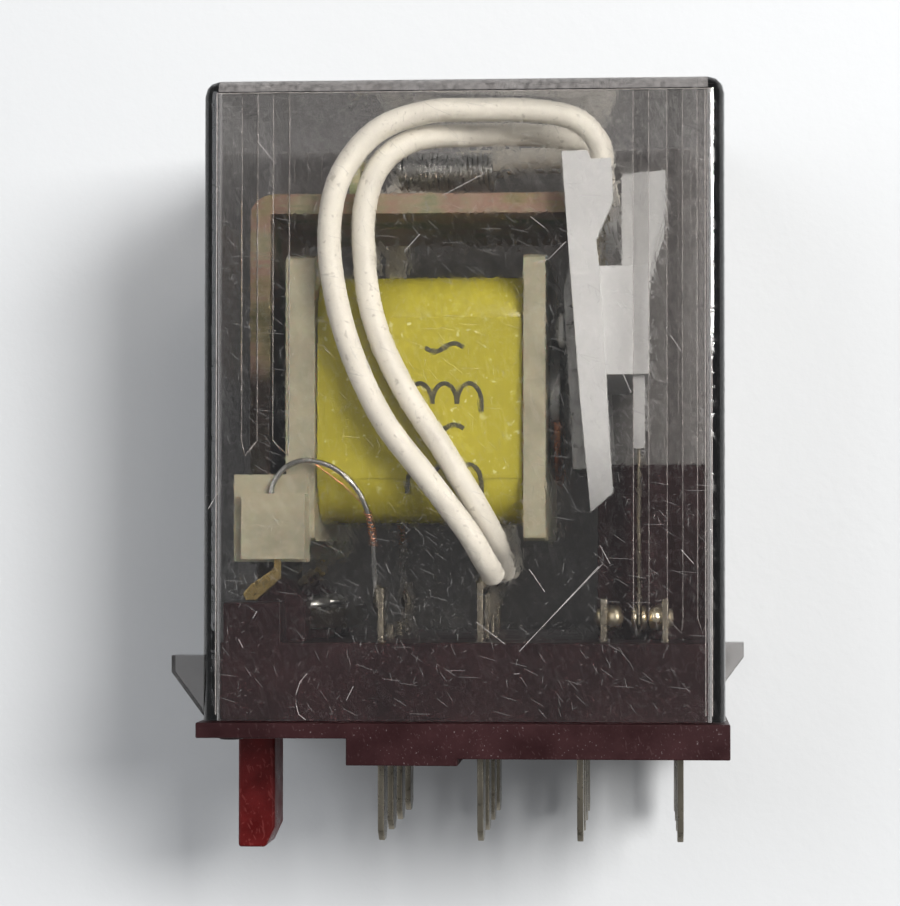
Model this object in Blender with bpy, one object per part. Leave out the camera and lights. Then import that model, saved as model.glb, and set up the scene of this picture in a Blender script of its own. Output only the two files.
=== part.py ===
"""Plug-in control relay with four changeover poles, in metres, +Z up, blades pointing down.

X runs from the coil end to the contact end, Y across the poles, and the origin is the middle of
the base's seating face.
"""

from math import cos, pi, radians, sin

import bmesh
import bpy
from mathutils import Matrix, Vector

MM = 0.001

# Pin grid
COLUMN_PITCH = 7.2 * MM
ROW_PITCH = 6.2 * MM
POLES = 4
COIL_END_MARGIN = 12.85 * MM  # base end to the coil column
CONTACT_END_MARGIN = 3.45 * MM  # contact column to the base end
SIDE_MARGIN = 4.7 * MM  # outer rows to the base sides

# Base moulding
FLANGE_TOP = 2.5 * MM
PLINTH_TOP = 8.15 * MM
UNDERSIDE_STEP = 1.4 * MM  # how far the coil end of the underside is raised
LUG_BLOCK_DROP = 0.5 * MM
STOP_HEIGHT = 2.85 * MM
GABLE_HEIGHT = 4.65 * MM
PARTITION_WALL = 0.8 * MM

# Cover
COVER_TOP = 48.5 * MM
COVER_WALL = 1.0 * MM
COVER_EDGE = 1.2 * MM
COVER_INSET = 0.3 * MM  # cover's outside within the base flange
COVER_LIFT = 0.12 * MM  # gap above the flange
COVER_FIT = 0.1 * MM  # inside of the cover to the plinth
RIB_HEIGHT = 0.5 * MM
WEDGE_REACH = 2.3 * MM
WEDGE_WIDTH = 2.0 * MM
HEADROOM = 6.75 * MM  # yoke to the inside of the cover

# Blades and contacts
STRIP = 0.45 * MM
BLADE_WIDTH = 2.4 * MM
BLADE_LENGTH = 6.3 * MM
SLOT_FIT = 0.1 * MM
TERMINAL_RISE = 3.1 * MM  # fixed contact strips above the plinth
COMMON_RISE = 4.25 * MM
SPARE_RISE = 1.0 * MM
CONTACT_HEIGHT = 1.7 * MM  # contact line above the plinth
CONTACT_RADIUS = 0.95 * MM
SHANK_RADIUS = 0.4 * MM
HOLE_RADIUS = 0.5 * MM
HEAD_GAP = 0.05 * MM
BREAK_HEAD = 0.95 * MM
MAKE_HEAD = 1.1 * MM
MOVING_HEAD = 0.4 * MM
CONTACT_GAP = 0.6 * MM
CONTACT_REST_GAP = 0.07 * MM
BREAK_STRIP_INSET = 1.08 * MM
SPRING_LEAF = 0.25 * MM
LEAF_WIDTH = 2.0 * MM
LEAF_FIT = 0.08 * MM

# Magnet
STEEL = 1.45 * MM
YOKE_BEND = 1.6 * MM
YOKE_TO_COVER = 1.85 * MM
POLE_TO_LEAF = 5.85 * MM
POLE_THICKNESS = 0.8 * MM
POLE_RADIUS = 5.2 * MM
CORE_RADIUS = 3.5 * MM
CORE_NECK_RADIUS = 2.5 * MM
RING_WIRE = 0.8 * MM
PIECE_FIT = 0.1 * MM
BOBBIN_WALL = 0.9 * MM
FLANGE_COIL_END = 2.1 * MM
FLANGE_POLE_END = 1.6 * MM
FLANGE_TO_YOKE = 3.1 * MM
FLANGE_TO_PLINTH = 7.25 * MM
YOKE_TO_FLANGE = 1.3 * MM
WINDING_INSET = 1.5 * MM
TAPE = 0.2 * MM
TAPE_FIT = 0.05 * MM

# Armature and contact carrier
ARMATURE_STEEL = 1.4 * MM
ARMATURE_TRAVEL = radians(3.0)
RESIDUAL_GAP = 0.05 * MM
HINGE_GAP = 0.15 * MM
TAIL_WIDTH = 4.4 * MM
CHEEK = 1.0 * MM
CHEEK_TO_COVER = 0.6 * MM
PEG_RADIUS = 0.8 * MM
TONGUE_LENGTH = 5.3 * MM

# Springs, leads and small pieces
SPRING_WIRE = 0.35 * MM
SPRING_RADIUS = 1.3 * MM
SPRING_TURNS = 12
SPRING_RISE = 2.95 * MM  # spring axis above the yoke
LEAD_DIAMETER = 1.7 * MM
JUMPER_DIAMETER = 0.4 * MM
RIVET_RADIUS = 1.0 * MM
RIVET_HEAD_RADIUS = 1.85 * MM
KEY_WIDTH = 2.8 * MM
KEY_DEPTH = 4.2 * MM
KEY_LENGTH = 9.3 * MM
KEY_SEAT = 3.2 * MM

# Places that follow from the sizes above
BASE_LENGTH = COIL_END_MARGIN + 3 * COLUMN_PITCH + CONTACT_END_MARGIN
BASE_WIDTH = 3 * ROW_PITCH + 2 * SIDE_MARGIN
COLUMN_X = [BASE_LENGTH / 2 - CONTACT_END_MARGIN - (3 - i) * COLUMN_PITCH for i in range(4)]
ROW_Y = [(i - (POLES - 1) / 2) * ROW_PITCH for i in range(POLES)]
COVER_X = BASE_LENGTH / 2 - COVER_INSET
COVER_Y = BASE_WIDTH / 2 - COVER_INSET
INNER_X = COVER_X - COVER_WALL
INNER_Y = COVER_Y - COVER_WALL
INNER_TOP = COVER_TOP - COVER_WALL
YOKE_TOP = INNER_TOP - HEADROOM
YOKE_UNDER = YOKE_TOP - STEEL
YOKE_Y = 1.5 * ROW_PITCH
YOKE_LEFT = -INNER_X + YOKE_TO_COVER
CONTACT_Z = PLINTH_TOP + CONTACT_HEIGHT

BREAK_STRIP_X = COLUMN_X[3] - BREAK_STRIP_INSET
BREAK_FACE_X = BREAK_STRIP_X - STRIP / 2 - HEAD_GAP - BREAK_HEAD
MOVING_HALF = SPRING_LEAF / 2 + HEAD_GAP + MOVING_HEAD
LEAF_X = BREAK_FACE_X - CONTACT_REST_GAP - MOVING_HALF
MAKE_FACE_X = LEAF_X - MOVING_HALF - CONTACT_GAP
MAKE_STRIP_X = MAKE_FACE_X - MAKE_HEAD - HEAD_GAP - STRIP / 2

POLE_FACE_X = LEAF_X - POLE_TO_LEAF
YOKE_RIGHT = POLE_FACE_X + 0.5 * MM
HINGE_X = YOKE_RIGHT + HINGE_GAP
HINGE_Z = YOKE_TOP - STEEL / 2
FLANGE_Z1 = YOKE_UNDER - FLANGE_TO_YOKE
FLANGE_Z0 = PLINTH_TOP + FLANGE_TO_PLINTH
COIL_Z = (FLANGE_Z0 + FLANGE_Z1) / 2
COIL_X0 = YOKE_LEFT + STEEL + YOKE_TO_FLANGE
COIL_X1 = POLE_FACE_X - POLE_THICKNESS - PIECE_FIT
FLANGE_Y = YOKE_Y + 0.9 * MM
WIND_Y = FLANGE_Y - 0.85 * MM
WIND_Z = (FLANGE_Z1 - FLANGE_Z0) / 2 - WINDING_INSET
SPRING_Z = YOKE_TOP + SPRING_RISE
LUG_X = COIL_X0 + 3.9 * MM  # spring lug on the yoke
BLOCK_Z1 = HINGE_Z - 4.9 * MM  # contact carrier's cross-bar
BLOCK_Z0 = HINGE_Z - 12.7 * MM
TONGUE_Z = BLOCK_Z0 - TONGUE_LENGTH
FOOT_Z = PLINTH_TOP + 0.8 * MM
RIVET_X = YOKE_LEFT + 3.75 * MM
RIVET_Y = YOKE_Y - 4.8 * MM
FOOT_Y = YOKE_Y - 3.0 * MM
CHEEK_Y1 = INNER_Y - CHEEK_TO_COVER
CHEEK_Y0 = CHEEK_Y1 - CHEEK
TAG_X = HINGE_X + 2.3 * MM  # upper ends of the leaf springs
KEY_X0 = -BASE_LENGTH / 2 + 0.95 * MM
LUG_Z = FLANGE_Z0 - 1.5 * MM  # foot of the bobbin's terminal lugs
JUMPER_HOLE = (COIL_X0 - 1.0 * MM, -FLANGE_Y - 1.4 * MM)
TAG_SLOT_X = COIL_X0 - 0.35 * MM
PEG_Y = YOKE_Y - 1.7 * MM  # pegs that hold the carrier to the armature
PEG_Z = HINGE_Z - 9.2 * MM
BAR_X0 = HINGE_X + 1.75 * MM
BAR_X1 = LEAF_X + 0.75 * MM


# ---------------------------------------------------------------- mesh tools


def new_material(name, colour, roughness, metallic=0.0, alpha=1.0):
    material = bpy.data.materials.new(name)
    material.use_nodes = True
    shader = material.node_tree.nodes["Principled BSDF"]
    shader.inputs["Base Color"].default_value = (*colour, 1.0)
    shader.inputs["Roughness"].default_value = roughness
    shader.inputs["Metallic"].default_value = metallic
    shader.inputs["Alpha"].default_value = alpha
    return material


def on_axis(axis, a, b, along):
    """The point at a, b in the plane across an axis, and at along on it."""
    if axis == "X":
        return Vector((along, a, b))
    if axis == "Y":
        return Vector((a, along, b))
    return Vector((a, b, along))


def close(bm):
    """The finished mesh of closed bodies, with every face turned out."""
    bmesh.ops.remove_doubles(bm, verts=bm.verts, dist=1e-7)
    bmesh.ops.recalc_face_normals(bm, faces=bm.faces)
    mesh = bpy.data.meshes.new("shape")
    bm.to_mesh(mesh)
    bm.free()
    return mesh


def prism(axis, outline, low, high):
    """An outline in the plane across an axis, carried from low to high along it."""
    bm = bmesh.new()
    ends = [[bm.verts.new(on_axis(axis, a, b, c)) for a, b in outline] for c in (low, high)]
    count = len(outline)
    for i in range(count):
        j = (i + 1) % count
        bm.faces.new((ends[0][i], ends[0][j], ends[1][j], ends[1][i]))
    bm.faces.new(ends[0][::-1])
    bm.faces.new(ends[1])
    return close(bm)


def box(x, y, z):
    """A box from three pairs of limits."""
    return prism("Z", [(x[0], y[0]), (x[1], y[0]), (x[1], y[1]), (x[0], y[1])], *z)


def sleeve(axis, outer, inner, low, high):
    """The wall between two outlines with the same number of points, along an axis."""
    bm = bmesh.new()
    rings = [
        [bm.verts.new(on_axis(axis, a, b, c)) for a, b in outline]
        for outline, c in ((outer, low), (outer, high), (inner, high), (inner, low))
    ]
    count = len(outer)
    for r in range(4):
        for i in range(count):
            j = (i + 1) % count
            bm.faces.new((rings[r][i], rings[r][j], rings[(r + 1) % 4][j], rings[(r + 1) % 4][i]))
    return close(bm)


def turned(axis, profile, centre, sides=16):
    """A profile of (along, radius) points turned about an axis through centre."""
    bm = bmesh.new()
    rings = []
    for along, radius in profile:
        if radius == 0:
            rings.append([bm.verts.new(on_axis(axis, centre[0], centre[1], along))])
            continue
        ring = []
        for k in range(sides):
            turn = 2 * pi * k / sides
            a = centre[0] + radius * cos(turn)
            b = centre[1] + radius * sin(turn)
            ring.append(bm.verts.new(on_axis(axis, a, b, along)))
        rings.append(ring)
    for one, two in zip(rings, rings[1:], strict=False):
        for k in range(sides):
            m = (k + 1) % sides
            corners = [one[k % len(one)], one[m % len(one)], two[m % len(two)], two[k % len(two)]]
            bm.faces.new(list(dict.fromkeys(corners)))
    for ring in (rings[0], rings[-1]):
        if len(ring) > 1:
            bm.faces.new(ring)
    return close(bm)


def cylinder(axis, centre, radius, low, high, sides=16):
    return turned(axis, [(low, radius), (high, radius)], centre, sides)


def rounded(half_a, half_b, radius, centre=(0, 0), steps=4):
    """The outline of a rectangle with round corners."""
    outline = []
    for quarter, (sa, sb) in enumerate(((1, 1), (-1, 1), (-1, -1), (1, -1))):
        for k in range(steps + 1):
            turn = (quarter + k / steps) * pi / 2
            a = centre[0] + sa * (half_a - radius) + radius * cos(turn)
            b = centre[1] + sb * (half_b - radius) + radius * sin(turn)
            outline.append((a, b))
    return outline


def ribbon(path, thickness):
    """The outline of a bent strip whose middle follows a path, with mitred bends."""
    points = [Vector(p) for p in path]
    sides = []
    for i, point in enumerate(points):
        before = (point - points[max(i - 1, 0)]).normalized()
        after = (points[min(i + 1, len(points) - 1)] - point).normalized()
        along = (before + after).normalized()
        across = Vector((-along.y, along.x))
        reach = thickness / 2 / max(across.dot(Vector((-after.y, after.x))), 0.3) if i else thickness / 2
        if i == len(points) - 1:
            reach = thickness / 2
        sides.append((point + across * reach, point - across * reach))
    return [tuple(s[0]) for s in sides] + [tuple(s[1]) for s in reversed(sides)]


def joined(meshes):
    """Several closed bodies in one mesh."""
    bm = bmesh.new()
    for mesh in meshes:
        bm.from_mesh(mesh)
        bpy.data.meshes.remove(mesh)
    result = bpy.data.meshes.new("shape")
    bm.to_mesh(result)
    bm.free()
    return result


def combine(mesh, other, operation):
    """The exact union or difference of two meshes, which are used up."""
    target = bpy.data.objects.new("target", mesh)
    tool = bpy.data.objects.new("tool", other)
    for obj in (target, tool):
        bpy.context.scene.collection.objects.link(obj)
    boolean = target.modifiers.new("boolean", "BOOLEAN")
    boolean.operation = operation
    boolean.solver = "EXACT"
    boolean.use_self = True
    boolean.object = tool
    graph = bpy.context.evaluated_depsgraph_get()
    result = bpy.data.meshes.new_from_object(target.evaluated_get(graph))
    for obj in (target, tool):
        bpy.data.objects.remove(obj)
    bm = bmesh.new()
    bm.from_mesh(result)
    bmesh.ops.dissolve_limit(bm, angle_limit=radians(0.05), verts=bm.verts, edges=bm.edges)
    bm.to_mesh(result)
    bm.free()
    return result


def union(mesh, *others):
    for other in others:
        mesh = combine(mesh, other, "UNION")
    return mesh


def cut(mesh, *others):
    for other in others:
        mesh = combine(mesh, other, "DIFFERENCE")
    return mesh


def mirrored(mesh):
    """A copy of a mesh on the other side of the Y = 0 plane."""
    copy = mesh.copy()
    copy.transform(Matrix.Scale(-1, 4, (0, 1, 0)))
    copy.flip_normals()
    return copy


def add(name, mesh, material, parent=None):
    """One named piece. A piece on a pivot gets its origin there."""
    obj = bpy.data.objects.new(name, mesh)
    bpy.context.scene.collection.objects.link(obj)
    mesh.materials.clear()
    mesh.materials.append(material)
    mesh.shade_smooth()
    mesh.set_sharp_from_angle(angle=radians(35))
    if parent is not None:
        mesh.transform(Matrix.Translation(-parent.matrix_world.translation))
        obj.parent = parent
    return obj


def add_at_rows(name, mesh, material, rows, parent=None):
    """Copies of a piece modelled at Y = 0, one on each row, with one mesh between them."""
    offset = parent.matrix_world.translation if parent else Vector()
    mesh.transform(Matrix.Translation(-offset))
    for number, y in enumerate(rows, start=1):
        obj = bpy.data.objects.new(f"{name}_{number}", mesh)
        bpy.context.scene.collection.objects.link(obj)
        obj.location.y = y
        obj.parent = parent
    mesh.materials.clear()
    mesh.materials.append(material)
    mesh.shade_smooth()
    mesh.set_sharp_from_angle(angle=radians(35))


def pivot(name, place, parent=None):
    empty = bpy.data.objects.new(name, None)
    empty.empty_display_size = 3 * MM
    bpy.context.scene.collection.objects.link(empty)
    empty.parent = parent
    empty.location = Vector(place) - (parent.matrix_world.translation if parent else Vector())
    bpy.context.view_layer.update()
    return empty


def opened(outline):
    """An outline drawn with the armature shut, turned about the hinge to where it rests open."""
    turn = -ARMATURE_TRAVEL
    result = []
    for x, z in outline:
        dx, dz = x - HINGE_X, z - HINGE_Z
        result.append((HINGE_X + dx * cos(turn) + dz * sin(turn), HINGE_Z - dx * sin(turn) + dz * cos(turn)))
    return result


def smooth_route(points, step):
    """Points at even steps along a smooth curve through the route's own points."""
    route = [Vector(p) for p in points]
    ends = [2 * route[0] - route[1], *route, 2 * route[-1] - route[-2]]
    dense = []
    for a, b, c, d in zip(ends, ends[1:], ends[2:], ends[3:], strict=False):
        for k in range(12):
            t = k / 12
            bend = 2 * b + (c - a) * t + (2 * a - 5 * b + 4 * c - d) * t**2
            dense.append((bend + (3 * b - a - 3 * c + d) * t**3) / 2)
    dense.append(route[-1])
    length = sum((q - p).length for p, q in zip(dense, dense[1:], strict=False))
    count = max(2, round(length / step))
    result, run, target = [dense[0]], 0.0, length / count
    for p, q in zip(dense, dense[1:], strict=False):
        gap = (q - p).length
        while run + gap >= target and len(result) < count:
            result.append(p.lerp(q, (target - run) / gap))
            target += length / count
        run += gap
    return [*result, dense[-1]]


def add_cord(name, points, diameter, material):
    """A round cord as a bevelled curve with closed ends."""
    curve = bpy.data.curves.new(name, "CURVE")
    curve.dimensions = "3D"
    curve.bevel_depth = diameter / 2
    curve.bevel_resolution = 2
    curve.use_fill_caps = True
    spline = curve.splines.new("POLY")
    spline.points.add(len(points) - 1)
    for slot, point in zip(spline.points, points, strict=True):
        slot.co = (*point, 1)
    curve.materials.append(material)
    obj = bpy.data.objects.new(name, curve)
    bpy.context.scene.collection.objects.link(obj)
    return obj


# ---------------------------------------------------------------- terminals


def straight_path(column, top):
    return [(COLUMN_X[column], -BLADE_LENGTH), (COLUMN_X[column], top)]


def jogged_path(column, strip_x):
    """From a blade's tip up through the base, where it steps sideways to its contact strip."""
    x = COLUMN_X[column]
    return [
        (x, -BLADE_LENGTH),
        (x, FLANGE_TOP),
        (strip_x, PLINTH_TOP - 1.5 * MM),
        (strip_x, PLINTH_TOP + TERMINAL_RISE),
    ]


TERMINAL_PATHS = {
    "coil_terminal": straight_path(0, PLINTH_TOP + COMMON_RISE - 0.4 * MM),
    "spare_blade": straight_path(0, PLINTH_TOP + SPARE_RISE),
    "common_terminal": straight_path(1, PLINTH_TOP + COMMON_RISE),
    "make_terminal": jogged_path(2, MAKE_STRIP_X),
    "break_terminal": jogged_path(3, BREAK_STRIP_X),
}
OUTER_ROWS = [ROW_Y[0], ROW_Y[-1]]
INNER_ROWS = ROW_Y[1:-1]
TERMINAL_ROWS = {"coil_terminal": OUTER_ROWS, "spare_blade": INNER_ROWS}


def blade_shape(path, margin=0.0):
    """A terminal at Y = 0, or with a margin the slot that it stands in."""
    half = BLADE_WIDTH / 2 + margin
    if margin:
        path = [(path[0][0], path[0][1] - BLADE_LENGTH), *path[1:-1], (path[-1][0], path[-1][1] + STRIP)]
    strip = prism("Y", ribbon(path, STRIP + 2 * margin), -half, half)
    if margin:
        return strip
    tip = path[0][1]
    shoulder = 0.75 * MM
    for side in (-1, 1):
        corner = [(side * half * 1.5, tip - STRIP), (side * half * 1.5, tip + shoulder)]
        corner += [(side * half, tip + shoulder), (side * (half - shoulder), tip - 0.01 * MM)]
        corner += [(side * (half - shoulder), tip - STRIP)]
        x = path[0][0]
        strip = cut(strip, prism("X", corner, x - STRIP, x + STRIP))
    return strip


def build_terminals(tinned):
    for name, path in TERMINAL_PATHS.items():
        mesh = blade_shape(path)
        if name in ("make_terminal", "break_terminal"):
            x = path[-1][0]
            hole = cylinder("X", (0, CONTACT_Z), HOLE_RADIUS, x - STRIP, x + STRIP, 12)
            mesh = cut(mesh, hole)
        add_at_rows(name, mesh, tinned, TERMINAL_ROWS.get(name, ROW_Y))


def fixed_rivet(strip_x, face_x):
    """A domed contact rivet through a strip, facing the moving contact."""
    side = 1 if face_x > strip_x else -1
    seat = strip_x + side * (STRIP / 2 + HEAD_GAP)
    back = strip_x - side * (STRIP / 2 + HEAD_GAP)
    profile = [
        (back - side * 0.3 * MM, SHANK_RADIUS),
        (back - side * 0.2 * MM, SHANK_RADIUS * 1.8),
        (back, SHANK_RADIUS * 1.8),
        (back, SHANK_RADIUS),
        (seat, SHANK_RADIUS),
        (seat, CONTACT_RADIUS),
        (face_x - side * 0.3 * MM, CONTACT_RADIUS),
        (face_x - side * 0.08 * MM, CONTACT_RADIUS * 0.7),
        (face_x, CONTACT_RADIUS * 0.3),
    ]
    return turned("X", profile, (0, CONTACT_Z), 14)


def build_rivets(silver):
    add_at_rows("make_rivet", fixed_rivet(MAKE_STRIP_X, MAKE_FACE_X), silver, ROW_Y)
    add_at_rows("break_rivet", fixed_rivet(BREAK_STRIP_X, BREAK_FACE_X), silver, ROW_Y)


# ---------------------------------------------------------------- base and key


def key_outline(margin=0.0, foot=0.0):
    x0, x1 = KEY_X0 - margin, KEY_X0 + KEY_WIDTH + margin
    low = UNDERSIDE_STEP - KEY_LENGTH
    chamfer = 0.7 * MM
    shoulder = UNDERSIDE_STEP + 0.6 * MM + margin
    neck_x0 = -INNER_X + 0.5 * MM - margin
    return [
        (x0, low - foot),
        (x1 - chamfer, low - foot),
        (x1, low - foot + 2.2 * chamfer),
        (x1, UNDERSIDE_STEP + KEY_SEAT + margin),
        (neck_x0, UNDERSIDE_STEP + KEY_SEAT + margin),
        (neck_x0, shoulder),
        (x0, shoulder),
    ]


def base_body():
    """The flange with its stepped underside, and the plinth that the cover goes over."""
    end = BASE_LENGTH / 2
    lug_x0 = COLUMN_X[0] - 2.1 * MM
    lug_x1 = COLUMN_X[1] - 1.35 * MM
    underside = [
        (-end, UNDERSIDE_STEP),
        (lug_x0, UNDERSIDE_STEP),
        (lug_x0, -LUG_BLOCK_DROP),
        (lug_x1, -LUG_BLOCK_DROP),
        (lug_x1, 0),
        (end, 0),
        (end, FLANGE_TOP),
        (-end, FLANGE_TOP),
    ]
    flange = prism("Y", underside, -BASE_WIDTH / 2, BASE_WIDTH / 2)
    half_x, half_y = INNER_X - COVER_FIT, INNER_Y - COVER_FIT
    plinth = prism("Z", rounded(half_x, half_y, 0.4 * MM), UNDERSIDE_STEP + 0.2 * MM, PLINTH_TOP)
    return union(flange, plinth)


def base_uprights():
    """Stops at the coil end, gabled posts behind them, and walls between the poles."""
    sink = PLINTH_TOP - 1.0 * MM
    half_y = INNER_Y - COVER_FIT
    stop_x0 = -INNER_X + 0.5 * MM
    gable_x0 = YOKE_LEFT + 0.55 * MM
    gable_x1 = gable_x0 + 3.5 * MM
    gable = [
        (gable_x0, sink),
        (gable_x1, sink),
        (gable_x1, PLINTH_TOP + GABLE_HEIGHT - 1.8 * MM),
        ((gable_x0 + gable_x1) / 2, PLINTH_TOP + GABLE_HEIGHT),
        (gable_x0, PLINTH_TOP + GABLE_HEIGHT - 1.8 * MM),
    ]
    pieces = []
    for side in (-1, 1):
        stop_y = sorted((side * half_y, side * (half_y - 2.3 * MM)))
        top = PLINTH_TOP + STOP_HEIGHT
        pieces.append(box((stop_x0, stop_x0 + 4.1 * MM), stop_y, (sink, top)))
        gable_y = sorted((side * (YOKE_Y - 0.1 * MM), side * (FOOT_Y + 0.3 * MM)))
        pieces.append(prism("Y", gable, *gable_y))
    wall_top = BLOCK_Z0 - TONGUE_LENGTH - 1.0 * MM
    for low, high in zip(ROW_Y, ROW_Y[1:], strict=False):
        y = (low + high) / 2
        wall_y = (y - PARTITION_WALL / 2, y + PARTITION_WALL / 2)
        x = (MAKE_STRIP_X - 0.5 * MM, INNER_X - 0.25 * MM)
        pieces.append(box(x, wall_y, (sink, wall_top)))
    for side in (-1, 1):
        boss_y = (side * RIVET_Y - 1.6 * MM, side * RIVET_Y + 1.6 * MM)
        boss_x = (RIVET_X - 1.6 * MM, RIVET_X + 1.6 * MM)
        pieces.append(box(boss_x, boss_y, (sink, FOOT_Z - PIECE_FIT)))
    return joined(pieces)


def build_base(burgundy):
    base = union(base_body(), base_uprights())
    pip = cylinder("Z", (KEY_X0 + 1.1 * MM, -BASE_WIDTH / 2 + 3 * MM), 0.9 * MM, 1.1 * MM, 1.8 * MM, 12)
    base = union(base, pip)
    slots = []
    for name, path in TERMINAL_PATHS.items():
        for y in TERMINAL_ROWS.get(name, ROW_Y):
            slot = blade_shape(path, SLOT_FIT)
            slot.transform(Matrix.Translation((0, y, 0)))
            slots.append(slot)
    half_key = KEY_DEPTH / 2 + PIECE_FIT
    slots.append(prism("Y", key_outline(PIECE_FIT, 2 * MM), -half_key, half_key))
    for side in (-1, 1):
        centre = (RIVET_X, side * RIVET_Y)
        slots.append(cylinder("Z", centre, RIVET_RADIUS + PIECE_FIT, -2 * MM, FOOT_Z + 1 * MM))
    add("base", cut(base, joined(slots)), burgundy)


def build_key(red):
    key = prism("Y", key_outline(), -KEY_DEPTH / 2, KEY_DEPTH / 2)
    add("coding_key", key, red)


def build_frame_rivets(steel):
    """Rivets up through the base and the yoke's foot, headed at both ends."""
    top = FOOT_Z + STEEL + HEAD_GAP
    low = UNDERSIDE_STEP - HEAD_GAP
    profile = [
        (low - 0.6 * MM, RIVET_HEAD_RADIUS * 0.75),
        (low - 0.3 * MM, RIVET_HEAD_RADIUS),
        (low, RIVET_HEAD_RADIUS),
        (low, RIVET_RADIUS),
        (top, RIVET_RADIUS),
        (top, RIVET_RADIUS * 1.5),
        (top + 0.5 * MM, RIVET_RADIUS * 1.4),
        (top + 0.8 * MM, RIVET_RADIUS * 0.8),
    ]
    for number, side in enumerate((-1, 1), start=1):
        add(f"frame_rivet_{number}", turned("Z", profile, (RIVET_X, side * RIVET_Y)), steel)


# ---------------------------------------------------------------- cover


def cover_rib(x0, x1, bottom, point):
    """A guide rib on the inside of the front and back walls, cut to a point at its foot."""
    sunk = INNER_Y + COVER_WALL / 2
    outline = [(x0, INNER_TOP + COVER_WALL / 2), (x0, bottom), (point, bottom - 1.1 * MM)]
    outline += [(x1, bottom), (x1, INNER_TOP + COVER_WALL / 2)]
    outline = list(dict.fromkeys(outline))
    return [prism("Y", outline, s * (INNER_Y - RIB_HEIGHT), s * sunk) for s in (-1, 1)]


def cover_wedge(side):
    """A snap wedge on an end wall, flat on top and sloping in below."""
    wall = COVER_X - COVER_WALL / 2
    reach = COVER_X + WEDGE_REACH
    top = FLANGE_TOP + 4.7 * MM
    outline = [(wall, top), (reach, top), (reach, top - 1.2 * MM)]
    outline += [(COVER_X, top - 4.3 * MM), (wall, top - 4.3 * MM)]
    outline = [(side * x, z) for x, z in outline]
    y = side * (COVER_Y - 1.1 * MM - WEDGE_WIDTH / 2)
    return prism("Y", outline, y - WEDGE_WIDTH / 2, y + WEDGE_WIDTH / 2)


def build_cover(clear):
    bottom = FLANGE_TOP + COVER_LIFT
    bm = bmesh.new()
    bm.from_mesh(box((-COVER_X, COVER_X), (-COVER_Y, COVER_Y), (bottom, COVER_TOP)))
    low = [e for e in bm.edges if all(v.co.z < FLANGE_TOP + 2 * COVER_LIFT for v in e.verts)]
    edges = [e for e in bm.edges if e not in low]
    bmesh.ops.bevel(bm, geom=edges, offset=COVER_EDGE, segments=3, profile=0.5, affect="EDGES")
    shell = close(bm)
    inside = prism("Z", rounded(INNER_X, INNER_Y, 0.4 * MM), bottom - 1 * MM, INNER_TOP)
    shell = cut(shell, inside)
    left, right = -INNER_X, INNER_X
    lower, deep = FLANGE_Z0 + 7.2 * MM, PLINTH_TOP + 1.8 * MM
    ribs = [
        *cover_rib(left + 1.75 * MM, left + 2.85 * MM, lower, left + 2.0 * MM),
        *cover_rib(left + 4.0 * MM, left + 5.15 * MM, lower, left + 5.1 * MM),
        *cover_rib(right - 5.5 * MM, right - 4.4 * MM, deep, right - 5.2 * MM),
        *cover_rib(right - 3.1 * MM, right - 2.0 * MM, deep, right - 2.1 * MM),
        *cover_rib(right - 0.95 * MM, right - 0.25 * MM, deep, right - 0.6 * MM),
    ]
    shell = union(shell, joined(ribs), joined([cover_wedge(-1), cover_wedge(1)]))
    add("cover", shell, clear)


# ---------------------------------------------------------------- magnet


def build_yoke(chromated):
    """An L of steel strip with a foot, a spring lug on top and holes for the core and rivets."""
    r = YOKE_BEND
    x0, z1, t = YOKE_LEFT, YOKE_TOP, STEEL
    foot_x = YOKE_LEFT + 6.65 * MM
    corner = [
        (x0 + r - r * sin(a), z1 - r + r * cos(a)) for a in (pi / 8 * k for k in range(5))
    ]
    outline = [
        (YOKE_RIGHT, z1),
        *corner,
        (x0, FOOT_Z),
        (foot_x, FOOT_Z),
        (foot_x, FOOT_Z + t),
        (x0 + t, FOOT_Z + t),
        (x0 + t, z1 - t),
        (YOKE_RIGHT, z1 - t),
    ]
    yoke = prism("Y", outline, -YOKE_Y, YOKE_Y)
    lug = box((LUG_X - 0.4 * MM, LUG_X + 0.4 * MM), (-1.6 * MM, 1.6 * MM), (z1 - t / 2, SPRING_Z + 1.1 * MM))
    yoke = union(yoke, lug)
    shoulder = PLINTH_TOP + 5.6 * MM
    cuts = [
        box((x0 - t, foot_x + t), sorted((s * FOOT_Y, s * 2 * YOKE_Y)), (0, shoulder)) for s in (-1, 1)
    ]
    cuts += [
        cylinder("Z", (RIVET_X, s * RIVET_Y), RIVET_RADIUS + PIECE_FIT, FOOT_Z - t, FOOT_Z + 2 * t)
        for s in (-1, 1)
    ]
    cuts.append(cylinder("X", (0, COIL_Z), CORE_NECK_RADIUS + PIECE_FIT, x0 - t, x0 + 2 * t, 20))
    cuts.append(cylinder("X", (0, SPRING_Z), 2 * SPRING_WIRE, LUG_X - t, LUG_X + t, 10))
    add("yoke", cut(yoke, joined(cuts)), chromated)


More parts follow.
